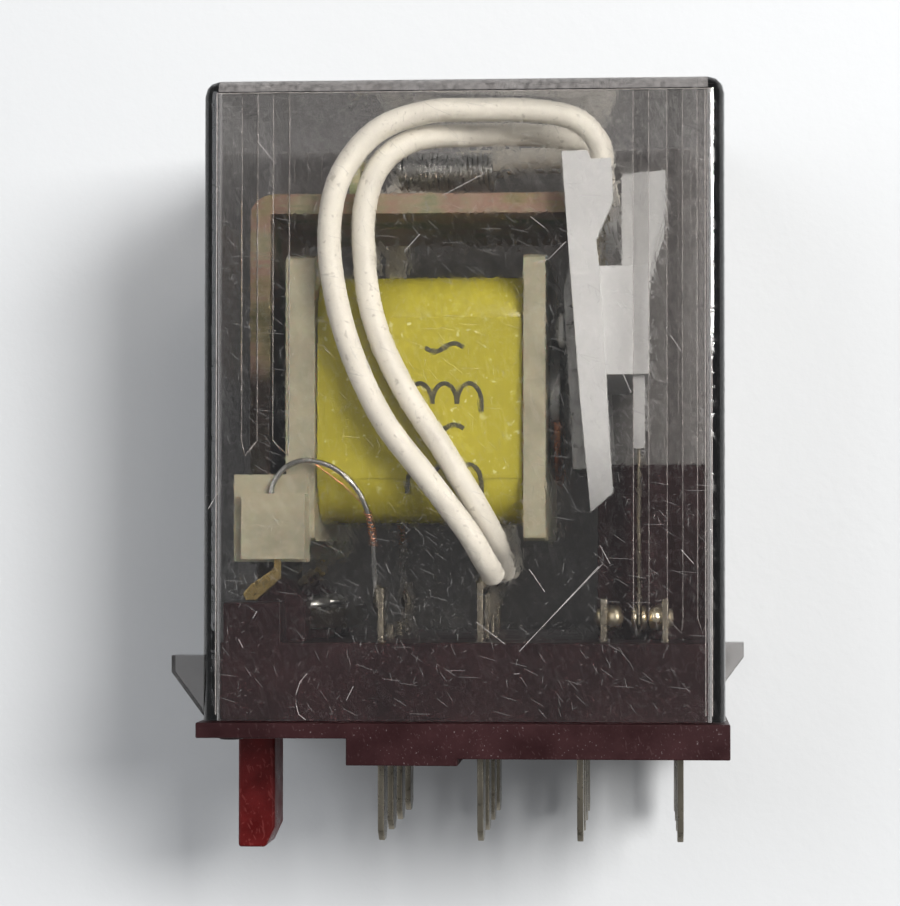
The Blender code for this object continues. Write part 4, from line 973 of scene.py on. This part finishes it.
class RELAY_OT_studio(bpy.types.Operator):
    """Lay the relay's back on a pale floor, with soft lamps and a camera over its front"""

    bl_idname = "relay.studio"
    bl_label = "Studio"

    def execute(self, context):
        self.floor()
        self.lamps(context)
        self.camera(context)
        return {"FINISHED"}

    def floor(self):
        """A large pale sheet just behind the relay's back, which is the side that it lies on."""
        y = BASE_HIGH.y + 0.3 * MM
        reach = 1.6
        bm = bmesh.new()
        corners = ((-reach, y, -reach), (reach, y, -reach), (reach, y, reach), (-reach, y, reach))
        bm.faces.new([bm.verts.new(c) for c in corners])
        floor = placed("studio_floor", mesh_of(bm))
        floor.data.materials.append(studio_surface())

    def lamps(self, context):
        """Soft lamps before and behind the relay, and a world that shows paler than it lights."""
        world = bpy.data.worlds.new("studio")
        world.use_nodes = True
        backdrop = world.node_tree.nodes["Background"]
        backdrop.inputs["Color"].default_value = (0.95, 0.97, 1.0, 1.0)
        path = world.node_tree.nodes.new("ShaderNodeLightPath")
        level = node(world.node_tree, "ShaderNodeMapRange", {"To Min": 0.36, "To Max": 0.75})
        world.node_tree.links.new(path.outputs["Is Camera Ray"], level.inputs["Value"])
        world.node_tree.links.new(level.outputs["Result"], backdrop.inputs["Strength"])
        context.scene.world = world
        context.scene.view_settings.view_transform = "Standard"
        # Each lamp's name, place and width in metres, watts and tint.
        lamps = (
            ("key", (0.34, -0.52, 0.2), 0.24, 6.7, (1.0, 0.99, 0.97)),
            ("fill", (-0.4, -0.5, 0.2), 0.45, 1.7, (0.95, 0.97, 1.0)),
            ("rear", (0.2, 0.55, 0.35), 0.5, 2.5, (1.0, 1.0, 1.0)),
        )
        middle = (COVER_LOW + COVER_HIGH) / 2
        for name, place, size, power, tint in lamps:
            light = bpy.data.lights.new(name, "AREA")
            light.energy, light.size, light.color = power, size, tint
            lamp = bpy.data.objects.new(name, light)
            lamp.location = place
            lamp.rotation_euler = (Vector(place) - middle).to_track_quat("Z", "Y").to_euler()
            lamp.visible_camera = False
            context.scene.collection.objects.link(lamp)

    def camera(self, context):
        """Looks at the front of the cover from a hand's width away, from the right and low."""
        front = COVER_LOW.y
        aim = Vector((BASE_LOW.x + 23.27 * MM, front, COVER_LOW.z + 15.8 * MM))
        place = Vector((BASE_LOW.x + 31.91 * MM, front - 160.0 * MM, COVER_LOW.z + 12.73 * MM))
        data = bpy.data.cameras.new("camera")
        data.lens = 90.0
        data.shift_x, data.shift_y = -0.08, 0.05
        data.sensor_width = 36.0
        data.clip_start, data.clip_end = 5.0 * MM, 10.0
        data.dof.use_dof = False
        camera = bpy.data.objects.new("camera", data)
        camera.location = place
        camera.rotation_euler = (place - aim).to_track_quat("Z", "Y").to_euler()
        context.scene.collection.objects.link(camera)
        context.scene.camera = camera


class RELAY_OT_base(bpy.types.Operator):
    """Finish the burgundy base, its red coding key and the rivets that hold the frame"""

    bl_idname = "relay.base"
    bl_label = "Base and key"

    def execute(self, context):
        edge = sizes().plastic_edge
        base = eased(merged_copy("base", "base_moulding"), edge, 2)
        hand_over(base, burgundy_moulding(), replaces=["base"])
        key = eased(merged_copy("coding_key", "coding_key_moulding"), 1.6 * edge, 3)
        hand_over(key, red_moulding(), replaces=["coding_key"])
        for name in numbered("frame_rivet", 2):
            low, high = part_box(name)
            centre = ((low.x + high.x) / 2, (low.y + high.y) / 2)
            radius = (high.x - low.x) / 2
            head, top = low.z + 0.6 * MM, high.z - 0.8 * MM
            profile = [(low.z, 0.0), (low.z, 0.5 * radius), (low.z + 0.12 * MM, 0.8 * radius)]
            profile += [(low.z + 0.35 * MM, 0.97 * radius), (head - 0.1 * MM, radius), (head, radius)]
            profile += [(head, 0.54 * radius), (top, 0.54 * radius), (top, 0.81 * radius)]
            profile += [(top + 0.4 * MM, 0.78 * radius), (top + 0.7 * MM, 0.55 * radius), (high.z, 0.0)]
            rivet = placed(f"{name}_finished", mesh_of(turned("Z", profile, centre)))
            eased(rivet, 0)
            hand_over(rivet, metal("steel", 0.32, "Y", 0.5), replaces=[name])
        return {"FINISHED"}


# How far the wedges stand out past the cover's end walls, and the guide ribs in from its walls.
WEDGE_REACH = 2.3 * MM
RIB_HEIGHT = 0.5 * MM
# Guide ribs: the end wall they are measured from, near side, far side and foot's point in from it,
# and the height at which the foot begins, in mm.
RIBS = (
    (-1, 1.75, 2.85, 2.0, 22.6), (-1, 4.0, 5.15, 5.1, 22.6),
    (1, 5.5, 4.4, 5.2, 9.95), (1, 3.1, 2.0, 2.1, 9.95), (1, 0.95, 0.25, 0.6, 9.95),
)
# Ends of the long scratches across the front, as X and Z in mm.
FRONT_SCRATCHES = (
    ((5.7, 9.3), (10.0, 13.8)), ((4.1, 7.6), (9.7, 13.6)), ((9.8, 15.1), (10.5, 13.8)),
    ((-18.1, 17.7), (-17.75, 18.3), (-17.4, 18.9)), ((-11.8, 4.5), (-11.5, 5.4), (-11.0, 6.0)),
    ((-11.8, 3.9), (-11.6, 3.1), (-11.1, 2.7)), ((-8.2, 4.1), (-7.7, 5.1)), ((4.8, 13.4), (5.9, 11.8)),
    ((15.5, 14.8), (16.4, 13.8)), ((4.9, 38.4), (5.9, 37.6)), ((-1.3, 40.0), (1.6, 41.5)),
    ((5.4, 35.1), (6.2, 35.4), (7.4, 36.6)), ((-14.6, 43.9), (-13.3, 42.3)), ((3.7, 6.0), (4.1, 6.02)),
    ((-14.9, 9.9), (-14.6, 10.4)), ((-15.9, 8.4), (-15.6, 7.8)), ((1.0, 9.7), (3.1, 8.1)),
    ((11.4, 27.3), (12.0, 25.9)), ((14.8, 29.9), (15.6, 28.7)), ((-4.1, 36.0), (-3.0, 37.2)),
)


class RELAY_OT_cover(bpy.types.Operator):
    """Make the clear cover with its round corners, guide ribs and wedges, and scratch it"""

    bl_idname = "relay.cover"
    bl_label = "Cover"

    def execute(self, context):
        cover = eased(merged_copy("cover", "cover_shell"), 0.1 * MM, 2, 40)
        hand_over(cover, smoky_cover(), replaces=["cover"])
        self.lit_edges()
        self.top_bands()
        self.scratches()
        self.deep_scratches()
        return {"FINISHED"}

    def lit_edges(self):
        """Painted highlights: thin bright strands along the inner corners and the guide ribs, front and
        back.
        """
        wall = sizes().cover_wall
        left, right = COVER_LOW.x + WEDGE_REACH + wall, COVER_HIGH.x - WEDGE_REACH - wall
        top, rim = COVER_HIGH.z - wall, COVER_LOW.z + 0.4 * MM
        inner = COVER_LOW.y + wall
        crest = inner + RIB_HEIGHT
        double = 0.4 * MM
        corners = [[(x, inner, rim), (x, inner, top)] for x in (left, right - double, right)]
        corners.append([(left, inner, top), (right, inner, top)])
        ribs = []
        taper = 1.1 * MM
        for end, *distances, foot in RIBS:
            wall_x, foot = left if end < 0 else right, foot * MM
            near, far, point = (wall_x - end * distance * MM for distance in distances)
            ribs.append([(near, crest, top), (near, crest, foot), (point, crest, foot - taper),
                         (far, crest, foot), (far, crest, top)])
        # Painted highlights on the corners and ribs, each with its radius in mm and strength.
        kinds = ("corner", corners, 0.028, 0.85), ("rib", ribs, 0.026, 0.55)
        for name, routes, radius, strength in kinds:
            routes = [[Vector(p) for p in route] for route in routes]
            glint_lines = wire(
                f"cover_{name}_lines", routes + [mirror_y(r) for r in routes], radius * MM,
                worn_edge(strength), 6,
            )
            hand_over(glint_lines, worn_edge(strength))

    def top_bands(self):
        """A hazy skin, half sunk, on the rounded edges between the top and the front and back: painted
        light that makes those edges paler.
        """
        radius = sizes().cover_corner
        x = COVER_HIGH.x - WEDGE_REACH - radius
        middle_y, middle_z = COVER_LOW.y + radius, COVER_HIGH.z - radius
        skin, parts = 0.004 * MM, 10
        turns = [radians(10 + 66 * k / parts) for k in range(parts + 1)]
        outline = [(middle_y - r * cos(t), middle_z + r * sin(t))
                   for r, order in ((radius + skin, turns), (radius - skin, turns[::-1])) for t in order]
        back = [(-y, z) for y, z in outline]
        # Pale skin of painted light over the cover's top edges.
        bands = placed("cover_top_bands", mesh_of(prism("X", outline, -x, x), prism("X", back, -x, x)))
        hand_over(bands, worn_edge(0.13))

    def scratches(self):
        """Fine slivers sunk half their width into the outside of the flat sides."""
        corner = sizes().cover_corner
        x0, x1 = COVER_LOW.x + WEDGE_REACH + corner, COVER_HIGH.x - WEDGE_REACH - corner
        y0, y1 = COVER_LOW.y, COVER_HIGH.y
        z0, z1 = COVER_LOW.z + 0.5 * MM, COVER_HIGH.z - corner
        left, right = COVER_LOW.x + WEDGE_REACH, COVER_HIGH.x - WEDGE_REACH
        end0, end1 = y0 + corner, y1 - corner
        faces = {
            "front": [(x0, y0, z0), (x1, y0, z0), (x1, y0, z1), (x0, y0, z1)],
            "back": [(x1, y1, z0), (x0, y1, z0), (x0, y1, z1), (x1, y1, z1)],
            "left": [(left, end1, z0), (left, end0, z0), (left, end0, z1), (left, end1, z1)],
            "right": [(right, end0, z0), (right, end1, z0), (right, end1, z1), (right, end0, z1)],
            "top": [(x0, end0, COVER_HIGH.z), (x1, end0, COVER_HIGH.z),
                    (x1, end1, COVER_HIGH.z), (x0, end1, COVER_HIGH.z)],
        }
        front_area = (x1 - x0) * (z1 - z0)
        for seed, (side, corners) in enumerate(faces.items(), start=1):
            bm = bmesh.new()
            bm.faces.new([bm.verts.new(c) for c in corners])
            share = 1.0 if side == "front" else 0.4
            density = sizes().scratch_count / front_area * share
            marks = grow(
                placed(f"cover_scratches_{side}", mesh_of(bm)), scatter_tree(), Density=density,
                Length=0.4 * MM, Width=0.016 * MM, Seed=seed, Material=scratched_edge(),
            )
            hand_over(marks, scratched_edge())

    def deep_scratches(self):
        """The few long scratches and nicks in the front."""
        routes = [[Vector((x * MM, COVER_LOW.y, z * MM)) for x, z in line] for line in FRONT_SCRATCHES]
        marks = wire("cover_deep_scratches", routes, 0.02 * MM, worn_edge(0.45), 6)
        hand_over(marks, worn_edge(0.45))


class RELAY_OT_terminals(bpy.types.Operator):
    """Finish the blades with their contact strips, row by row"""

    bl_idname = "relay.terminals"
    bl_label = "Blades"

    def execute(self, context):
        groups = {
            "coil_terminal": [ROWS[0], ROWS[-1]], "spare_blade": ROWS[1:3],
            "common_terminal": ROWS, "make_terminal": ROWS, "break_terminal": ROWS,
        }
        tinned = tinned_blade()
        for name, rows in groups.items():
            blade = merged_copy(f"{name}_1", f"{name}s")
            low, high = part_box(f"{name}_1")
            blade.data.transform(Matrix.Translation((0, -(low.y + high.y) / 2, 0)))
            eased(blade, sizes().metal_edge, 2)
            across_poles(blade, tinned, rows)
            hand_over(blade, tinned, replaces=numbered(name, len(rows)))
        return {"FINISHED"}


def domed(axis_points, radius, dome):
    """The profile of a contact head: a flat seat, a straight rim and a shallow dome."""
    seat, face = axis_points
    side = 1 if face > seat else -1
    rim = face - side * dome
    points = [(seat, radius * 0.42), (seat, radius), (rim, radius)]
    for k in range(1, 7):
        turn = pi / 2 * k / 6
        points.append((rim + side * dome * sin(turn), radius * cos(turn) if k < 6 else 0.0))
    return points


class RELAY_OT_contacts(bpy.types.Operator):
    """Make the domed silver contacts on the strips and on the leaf springs"""

    bl_idname = "relay.contacts"
    bl_label = "Contacts"

    def execute(self, context):
        silver = metal("gilt", 0.3, "X", 0.2)
        height = sum(v.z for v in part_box("moving_contact_1")) / 2
        for name in ("make_rivet", "break_rivet"):
            low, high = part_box(f"{name}_1")
            radius = (high.z - low.z) / 2
            if name == "make_rivet":
                tail, face, side, depth = low.x, high.x, 1, 1.1 * MM
            else:
                tail, face, side, depth = high.x, low.x, -1, 0.95 * MM
            seat = face - side * depth
            profile = [(tail, 0.0), (tail, 0.35 * radius), (tail + side * 0.1 * MM, 0.6 * radius)]
            profile += [(tail + side * 0.25 * MM, 0.72 * radius), (tail + side * 0.3 * MM, 0.72 * radius)]
            profile += [(tail + side * 0.3 * MM, 0.42 * radius)]
            profile += domed((seat, face), radius, 0.45 * MM)
            rivet = placed(f"{name}s", mesh_of(turned("X", profile, (0, height))))
            eased(rivet, 0)
            across_poles(rivet, silver)
            hand_over(rivet, silver, replaces=numbered(name))
        low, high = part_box("moving_contact_1")
        middle, half = (low.x + high.x) / 2, (high.x - low.x) / 2
        radius = (high.z - low.z) / 2
        right = domed((middle + half - 0.4 * MM, middle + half), radius, 0.22 * MM)
        left = [(2 * middle - x, r) for x, r in reversed(right)]
        moving = placed("moving_contacts", mesh_of(turned("X", left + right, (0, height))))
        eased(moving, 0)
        across_poles(moving, silver)
        hand_over(moving, silver, "contact_tips", numbered("moving_contact"))
        return {"FINISHED"}


class RELAY_OT_magnet(bpy.types.Operator):
    """Finish the chromated yoke, the core with its pole face and the copper shading ring"""

    bl_idname = "relay.magnet"
    bl_label = "Yoke and core"

    def execute(self, context):
        edge = sizes().metal_edge
        yoke = eased(merged_copy("yoke", "yoke_plate"), 1.6 * edge, 2)
        hand_over(yoke, yellow_chromate(), replaces=["yoke"])
        core = eased(merged_copy("core", "core_and_pole"), edge, 2)
        hand_over(core, metal("steel", 0.3, "Y", 0.7), replaces=["core"])
        ring = eased(merged_copy("shading_ring", "shading_ring_finished"), edge, 2)
        hand_over(ring, metal("copper", 0.3, "Y", 0.3), replaces=["shading_ring"])
        return {"FINISHED"}


class RELAY_OT_coil(bpy.types.Operator):
    """Make the bobbin, the winding and the yellow tape"""

    bl_idname = "relay.coil"
    bl_label = "Coil"

    def execute(self, context):
        bobbin = eased(merged_copy("bobbin", "bobbin_moulding"), sizes().plastic_edge, 2)
        hand_over(bobbin, milky_nylon(), replaces=["bobbin"])
        winding = eased(merged_copy("winding", "winding_turns"), 0)
        hand_over(winding, metal("copper", 0.3, "Y", 0.3), replaces=["winding"])
        self.tape()
        return {"FINISHED"}

    def tape(self):
        """The film, its last turn with the loose end's edge, and plain printed marks on the front."""
        tape = eased(merged_copy("coil_tape", "coil_tape_film"), 0)
        hand_over(tape, yellow_film(), replaces=["coil_tape"])
        front = TAPE_LOW.y
        film = 0.05 * MM
        rounding = 3.3 * MM
        x0, x1 = TAPE_LOW.x + 0.55 * MM, TAPE_HIGH.x - 0.05 * MM
        z0, z1 = TAPE_LOW.z + rounding, TAPE_HIGH.z - rounding
        turn = placed("coil_tape_end", mesh_of(block((x0, x1), (front - film, front + film), (z0, z1))))
        hand_over(turn, yellow_film())
        face = front - film
        middle_x, upper, lower = x1 - 5.6 * MM, z1 - 2.2 * MM, z0 + 3.6 * MM
        hump, rise, leg = 0.9 * MM, 1.5 * MM, 0.6 * MM
        routes = []
        for height in (upper, lower):
            wave = [(middle_x + 1.4 * u * MM, face, height + 0.3 * MM * sin(pi * u))
                    for u in evenly(-1, 1, 16)]
            foot = height - 4.1 * MM
            first, last = middle_x - 3 * hump, middle_x + 3 * hump
            routes += [wave, [(first, face, foot - leg), (first, face, foot)]]
            for centre in (middle_x - 2 * hump, middle_x, middle_x + 2 * hump):
                routes.append([(centre - hump * cos(t), face, foot + rise * sin(t))
                               for t in evenly(0, pi, 14)])
            routes.append([(last, face, foot), (last, face, foot - leg)])
        routes = [[Vector(p) for p in route] for route in routes]
        marks = wire("coil_tape_marks", routes, 0.17 * MM, black_ink(), 8)
        to_face = Matrix.Translation((0, face, 0))
        marks.data.transform(to_face @ Matrix.Diagonal((1, 0.05, 1, 1)) @ to_face.inverted())
        hand_over(marks, black_ink())


class RELAY_OT_armature(bpy.types.Operator):
    """Finish the armature, the white contact carrier and the leaf springs"""

    bl_idname = "relay.armature"
    bl_label = "Armature and carrier"

    def execute(self, context):
        edge = sizes().metal_edge
        plate = eased(merged_copy("armature", "armature_plate"), 1.5 * edge, 2)
        hand_over(plate, metal("steel", 0.42, "Z", 0.9), "armature_assembly", ["armature"])
        carrier = eased(merged_copy("contact_carrier", "carrier_moulding"), sizes().plastic_edge, 2)
        hand_over(carrier, white_moulding(), "armature_assembly", ["contact_carrier"])
        bronze = metal("tin", 0.3, "Z", 0.8)
        leaf = merged_copy("moving_spring_1", "leaf_springs")
        leaf.data.transform(Matrix.Translation((0, -ROWS[0], 0)))
        self.refine(leaf)
        eased(leaf, 0)
        across_poles(leaf, bronze)
        leaf.data.materials.clear()
        leaf.data.materials.append(bronze)
        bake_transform(leaf)
        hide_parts(*numbered("moving_spring"))
        return {"FINISHED"}

    def refine(self, leaf):
        """Cuts the leaf into short lengths."""
        bm = bmesh.new()
        bm.from_mesh(leaf.data)
        low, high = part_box("moving_spring_1")
        lengths = 48
        for k in range(1, lengths):
            z = low.z + (high.z - low.z) * k / lengths
            geometry = bm.verts[:] + bm.edges[:] + bm.faces[:]
            bmesh.ops.bisect_plane(bm, geom=geometry, dist=1e-7, plane_co=(0, 0, z), plane_no=(0, 0, 1))
        bm.to_mesh(leaf.data)
        bm.free()


class RELAY_OT_spring(bpy.types.Operator):
    """Wind the return spring between the yoke's lug and the armature's tail"""

    bl_idname = "relay.spring"
    bl_label = "Return spring"

    def execute(self, context):
        low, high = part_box("return_spring")
        radius, turns, wire_radius = sizes().spring_radius, sizes().spring_turns, 0.175 * MM
        height = low.z + radius + wire_radius
        left_hook, right_hook = 4.6 * MM, 8.1 * MM
        x0, x1 = low.x + left_hook, high.x - right_hook
        points = 28 * turns
        coil = []
        for k in range(points + 1):
            turn = 2 * pi * k * turns / points
            x = x0 + (x1 - x0) * k / points
            coil.append(Vector((x, radius * cos(turn), height + radius * sin(turn))))
        left = smooth_route(
            [
                (low.x + 0.2 * MM, 0, height + 0.9 * MM), (low.x + 0.25 * MM, 0, height + 0.3 * MM),
                (low.x + 0.6 * MM, 0, height - 0.05 * MM), (low.x + 2.2 * MM, 0, height),
                (x0 - 0.8 * MM, 0, height), (x0 - 0.2 * MM, 0.7 * radius, height + 0.2 * MM), coil[0],
            ],
            0.15 * MM,
        )
        right = smooth_route(
            [
                coil[-1], (x1 + 0.2 * MM, 0.7 * radius, height - 0.2 * MM), (x1 + 0.8 * MM, 0, height),
                (high.x - 2.4 * MM, 0, height), (high.x - 0.6 * MM, 0, height - 0.05 * MM),
                (high.x - 0.25 * MM, 0, height + 0.3 * MM), (high.x - 0.2 * MM, 0, height + 0.9 * MM),
            ],
            0.15 * MM,
        )
        steel = metal("steel", 0.26, "X", 0.6)
        spring = wire("return_spring_coil", [left + coil[1:-1] + right], wire_radius, steel, 12)
        spring.data.materials.clear()
        spring.data.materials.append(steel)
        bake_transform(spring)
        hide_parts("return_spring")
        return {"FINISHED"}


def in_mm(*points):
    """Points given in mm, in metres."""
    return [Vector(p) * MM for p in points]


OUTER_LEAD = in_mm(
    (2.05, -9.6, 12.85), (1.35, -11.0, 14.2), (0.2, -11.7, 16.2), (-2.6, -11.78, 19.9),
    (-5.85, -11.78, 24.2), (-8.2, -11.78, 29.3), (-9.45, -11.78, 34.3), (-9.65, -11.78, 38.4),
    (-8.75, -11.76, 41.9), (-6.3, -11.6, 44.9), (-2.7, -11.3, 46.3), (1.0, -10.9, 46.5),
    (5.2, -10.3, 46.5), (8.1, -9.7, 45.9), (9.7, -9.35, 44.2), (9.9, -9.3, 42.5),
)
INNER_LEAD = in_mm(
    (2.4, -3.5, 13.1), (2.3, -5.6, 14.0), (2.1, -8.2, 15.3), (1.1, -10.2, 17.5),
    (-1.5, -10.7, 21.9), (-4.5, -10.85, 26.6), (-6.6, -10.9, 31.5), (-7.3, -10.9, 36.5),
    (-7.1, -10.9, 40.2), (-5.9, -10.7, 42.9), (-3.5, -9.9, 44.6), (0.2, -7.9, 45.2),
    (4.4, -5.6, 45.6), (8.0, -3.8, 45.4), (9.6, -3.2, 44.0), (9.9, -3.1, 42.5),
)
JUMPER = in_mm(
    (-13.93, -11.6, 18.0), (-13.85, -11.58, 19.2), (-13.4, -11.5, 20.1), (-12.8, -11.4, 20.75),
    (-11.7, -11.3, 21.2), (-10.6, -11.15, 21.1), (-9.5, -11.0, 20.7), (-8.45, -10.9, 19.9),
    (-7.6, -10.6, 18.8), (-7.0, -10.3, 17.3), (-6.75, -9.95, 15.9), (-6.66, -9.6, 13.8),
    (-6.64, -9.45, 12.3), (-6.64, -9.4, 11.2),
)


class RELAY_OT_leads(bpy.types.Operator):
    """Run the four insulated leads from the common blades over the coil to the leaf springs"""

    bl_idname = "relay.leads"
    bl_label = "Pole leads"

    def execute(self, context):
        radius = sizes().lead_radius
        outer = smooth_route(OUTER_LEAD, 0.3 * MM)
        inner = smooth_route(INNER_LEAD, 0.3 * MM)
        leads = [outer, inner, mirror_y(inner), mirror_y(outer)]
        sleeving, tin = lead_insulation(), metal("tin", 0.24, "Z", 0.55)
        for number, points in enumerate(leads, start=1):
            lead = wire(f"lead_{number}_sleeve", [points], radius, sleeving, 28)
            self.over_the_hinge(lead, points, sleeving, "lead_insulation")
            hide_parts(f"lead_{number}")
            tail = [points[-3], points[-1], points[-1] - Vector((0.1, 0, 1.3)) * MM]
            low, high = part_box(f"common_terminal_{number}")
            top = Vector(((low.x + high.x) / 2, ROWS[number - 1], high.z))
            bow = (points[0] + top) / 2 + Vector((0.35, 0, 0)) * MM
            foot = [points[2], points[0], bow, top - Vector((0, 0, 0.4)) * MM]
            for end, name, body in ((tail, "upper", "armature_assembly"), (foot, "lower", "root")):
                routes = [smooth_route(end, 0.15 * MM)]
                core = wire(f"lead_{number}_{name}_end", routes, 0.36 * MM, tin, 16)
                hand_over(core, tin, body)
            solder = placed(f"lead_{number}_solder", mesh_of(
                blob(top - Vector((-0.1, 0, 0.2)) * MM, (0.5 * MM, 0.75 * MM, 0.85 * MM), number),
            ))
            solder.data.shade_smooth()
            hand_over(solder, tin)
        return {"FINISHED"}

    def over_the_hinge(self, obj, points, material, slot):
        """Gives a lead its material and bakes its place into its mesh."""
        obj.data.materials.clear()
        obj.data.materials.append(material)
        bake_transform(obj)


class RELAY_OT_coil_wires(bpy.types.Operator):
    """Run the bare wires from the bobbin's lugs to the coil blades and solder them"""

    bl_idname = "relay.coil_wires"
    bl_label = "Coil wires"

    def execute(self, context):
        tin = metal("tin", 0.24, "Z", 0.55)
        brass = metal("brass", 0.22, "Z", 0.6)
        front = smooth_route(JUMPER, 0.15 * MM)
        for number, points in ((1, front), (2, mirror_y(front))):
            bright = metal("steel", 0.22, "Z", 0.3)
            jumper = wire(f"coil_lead_{number}_wire", [points], sizes().jumper_radius, bright, 16)
            hand_over(jumper, bright, replaces=[f"coil_lead_{number}"])
            enamel = metal("copper", 0.3, "Y", 0.3)
            routes = [self.winding_end(points)]
            hair = wire(f"coil_lead_{number}_winding_end", routes, 0.045 * MM, enamel, 8)
            hand_over(hair, enamel)
            foot = points[-1]
            solder = placed(f"coil_lead_{number}_solder", mesh_of(
                blob(foot + Vector((0.25, 0, -0.1)) * MM, (0.38 * MM, 0.6 * MM, 1.1 * MM), number + 7),
            ))
            solder.data.shade_smooth()
            hand_over(solder, tin)
            tag = eased(merged_copy(f"coil_tag_{number}", f"coil_tag_{number}_finished"), 0.06 * MM, 2)
            hand_over(tag, brass, replaces=[f"coil_tag_{number}"])
        return {"FINISHED"}

    def winding_end(self, points):
        """The winding's own fine wire, from the lug to the jumper and in close turns down it."""
        side = 1 if points[0].y > 0 else -1
        held = [p for p in points if 15.2 * MM < p.z < 17.6 * MM and p.x > -9 * MM]
        reach = sizes().jumper_radius + 0.04 * MM
        sides, count = 16, 161
        turns = []
        for k in range(count):
            place = held[k * len(held) // count]
            angle = 2 * pi * k / sides
            drop = -0.008 * MM * (k % sides)
            turns.append(place + Vector((reach * cos(angle), reach * sin(angle), drop)))
        start = Vector((-11.1 * MM, side * 11.2 * MM, 21.2 * MM))
        return [start, start.lerp(turns[0], 0.5) + Vector((0.1 * MM, 0, 0.15 * MM)), *turns]


# ---------------------------------------------------------------- panel and main


STEPS = (
    RELAY_OT_studio, RELAY_OT_base, RELAY_OT_cover, RELAY_OT_terminals, RELAY_OT_contacts,
    RELAY_OT_magnet, RELAY_OT_coil, RELAY_OT_armature, RELAY_OT_spring, RELAY_OT_leads,
    RELAY_OT_coil_wires,
)


class RELAY_PT_panel(bpy.types.Panel):
    """Lists the relay's sizes, colours and pieces"""

    bl_idname = "RELAY_PT_panel"
    bl_label = "Relay"
    bl_space_type = "VIEW_3D"
    bl_region_type = "UI"
    bl_category = "Relay"

    def draw(self, context):
        for group in (context.scene.relay_sizes, context.scene.relay_colours):
            box = self.layout.box()
            for name in group.__annotations__:
                box.prop(group, name)
        for step in STEPS:
            self.layout.operator(step.bl_idname)


CLASSES = (RelaySizes, RelayColours, *STEPS, RELAY_PT_panel)


def register():
    """Makes the sizes, colours, operators and panel known to Blender."""
    for cls in CLASSES:
        bpy.utils.register_class(cls)
    bpy.types.Scene.relay_sizes = PointerProperty(type=RelaySizes)
    bpy.types.Scene.relay_colours = PointerProperty(type=RelayColours)


def unregister():
    """Takes them away again, in the opposite order."""
    del bpy.types.Scene.relay_colours
    del bpy.types.Scene.relay_sizes
    for cls in reversed(CLASSES):
        bpy.utils.unregister_class(cls)


def main():
    """Makes every piece in order."""
    register()
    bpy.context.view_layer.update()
    for step in STEPS:
        family, name = step.bl_idname.split(".")
        getattr(getattr(bpy.ops, family), name)()


if __name__ == "__main__":
    main()
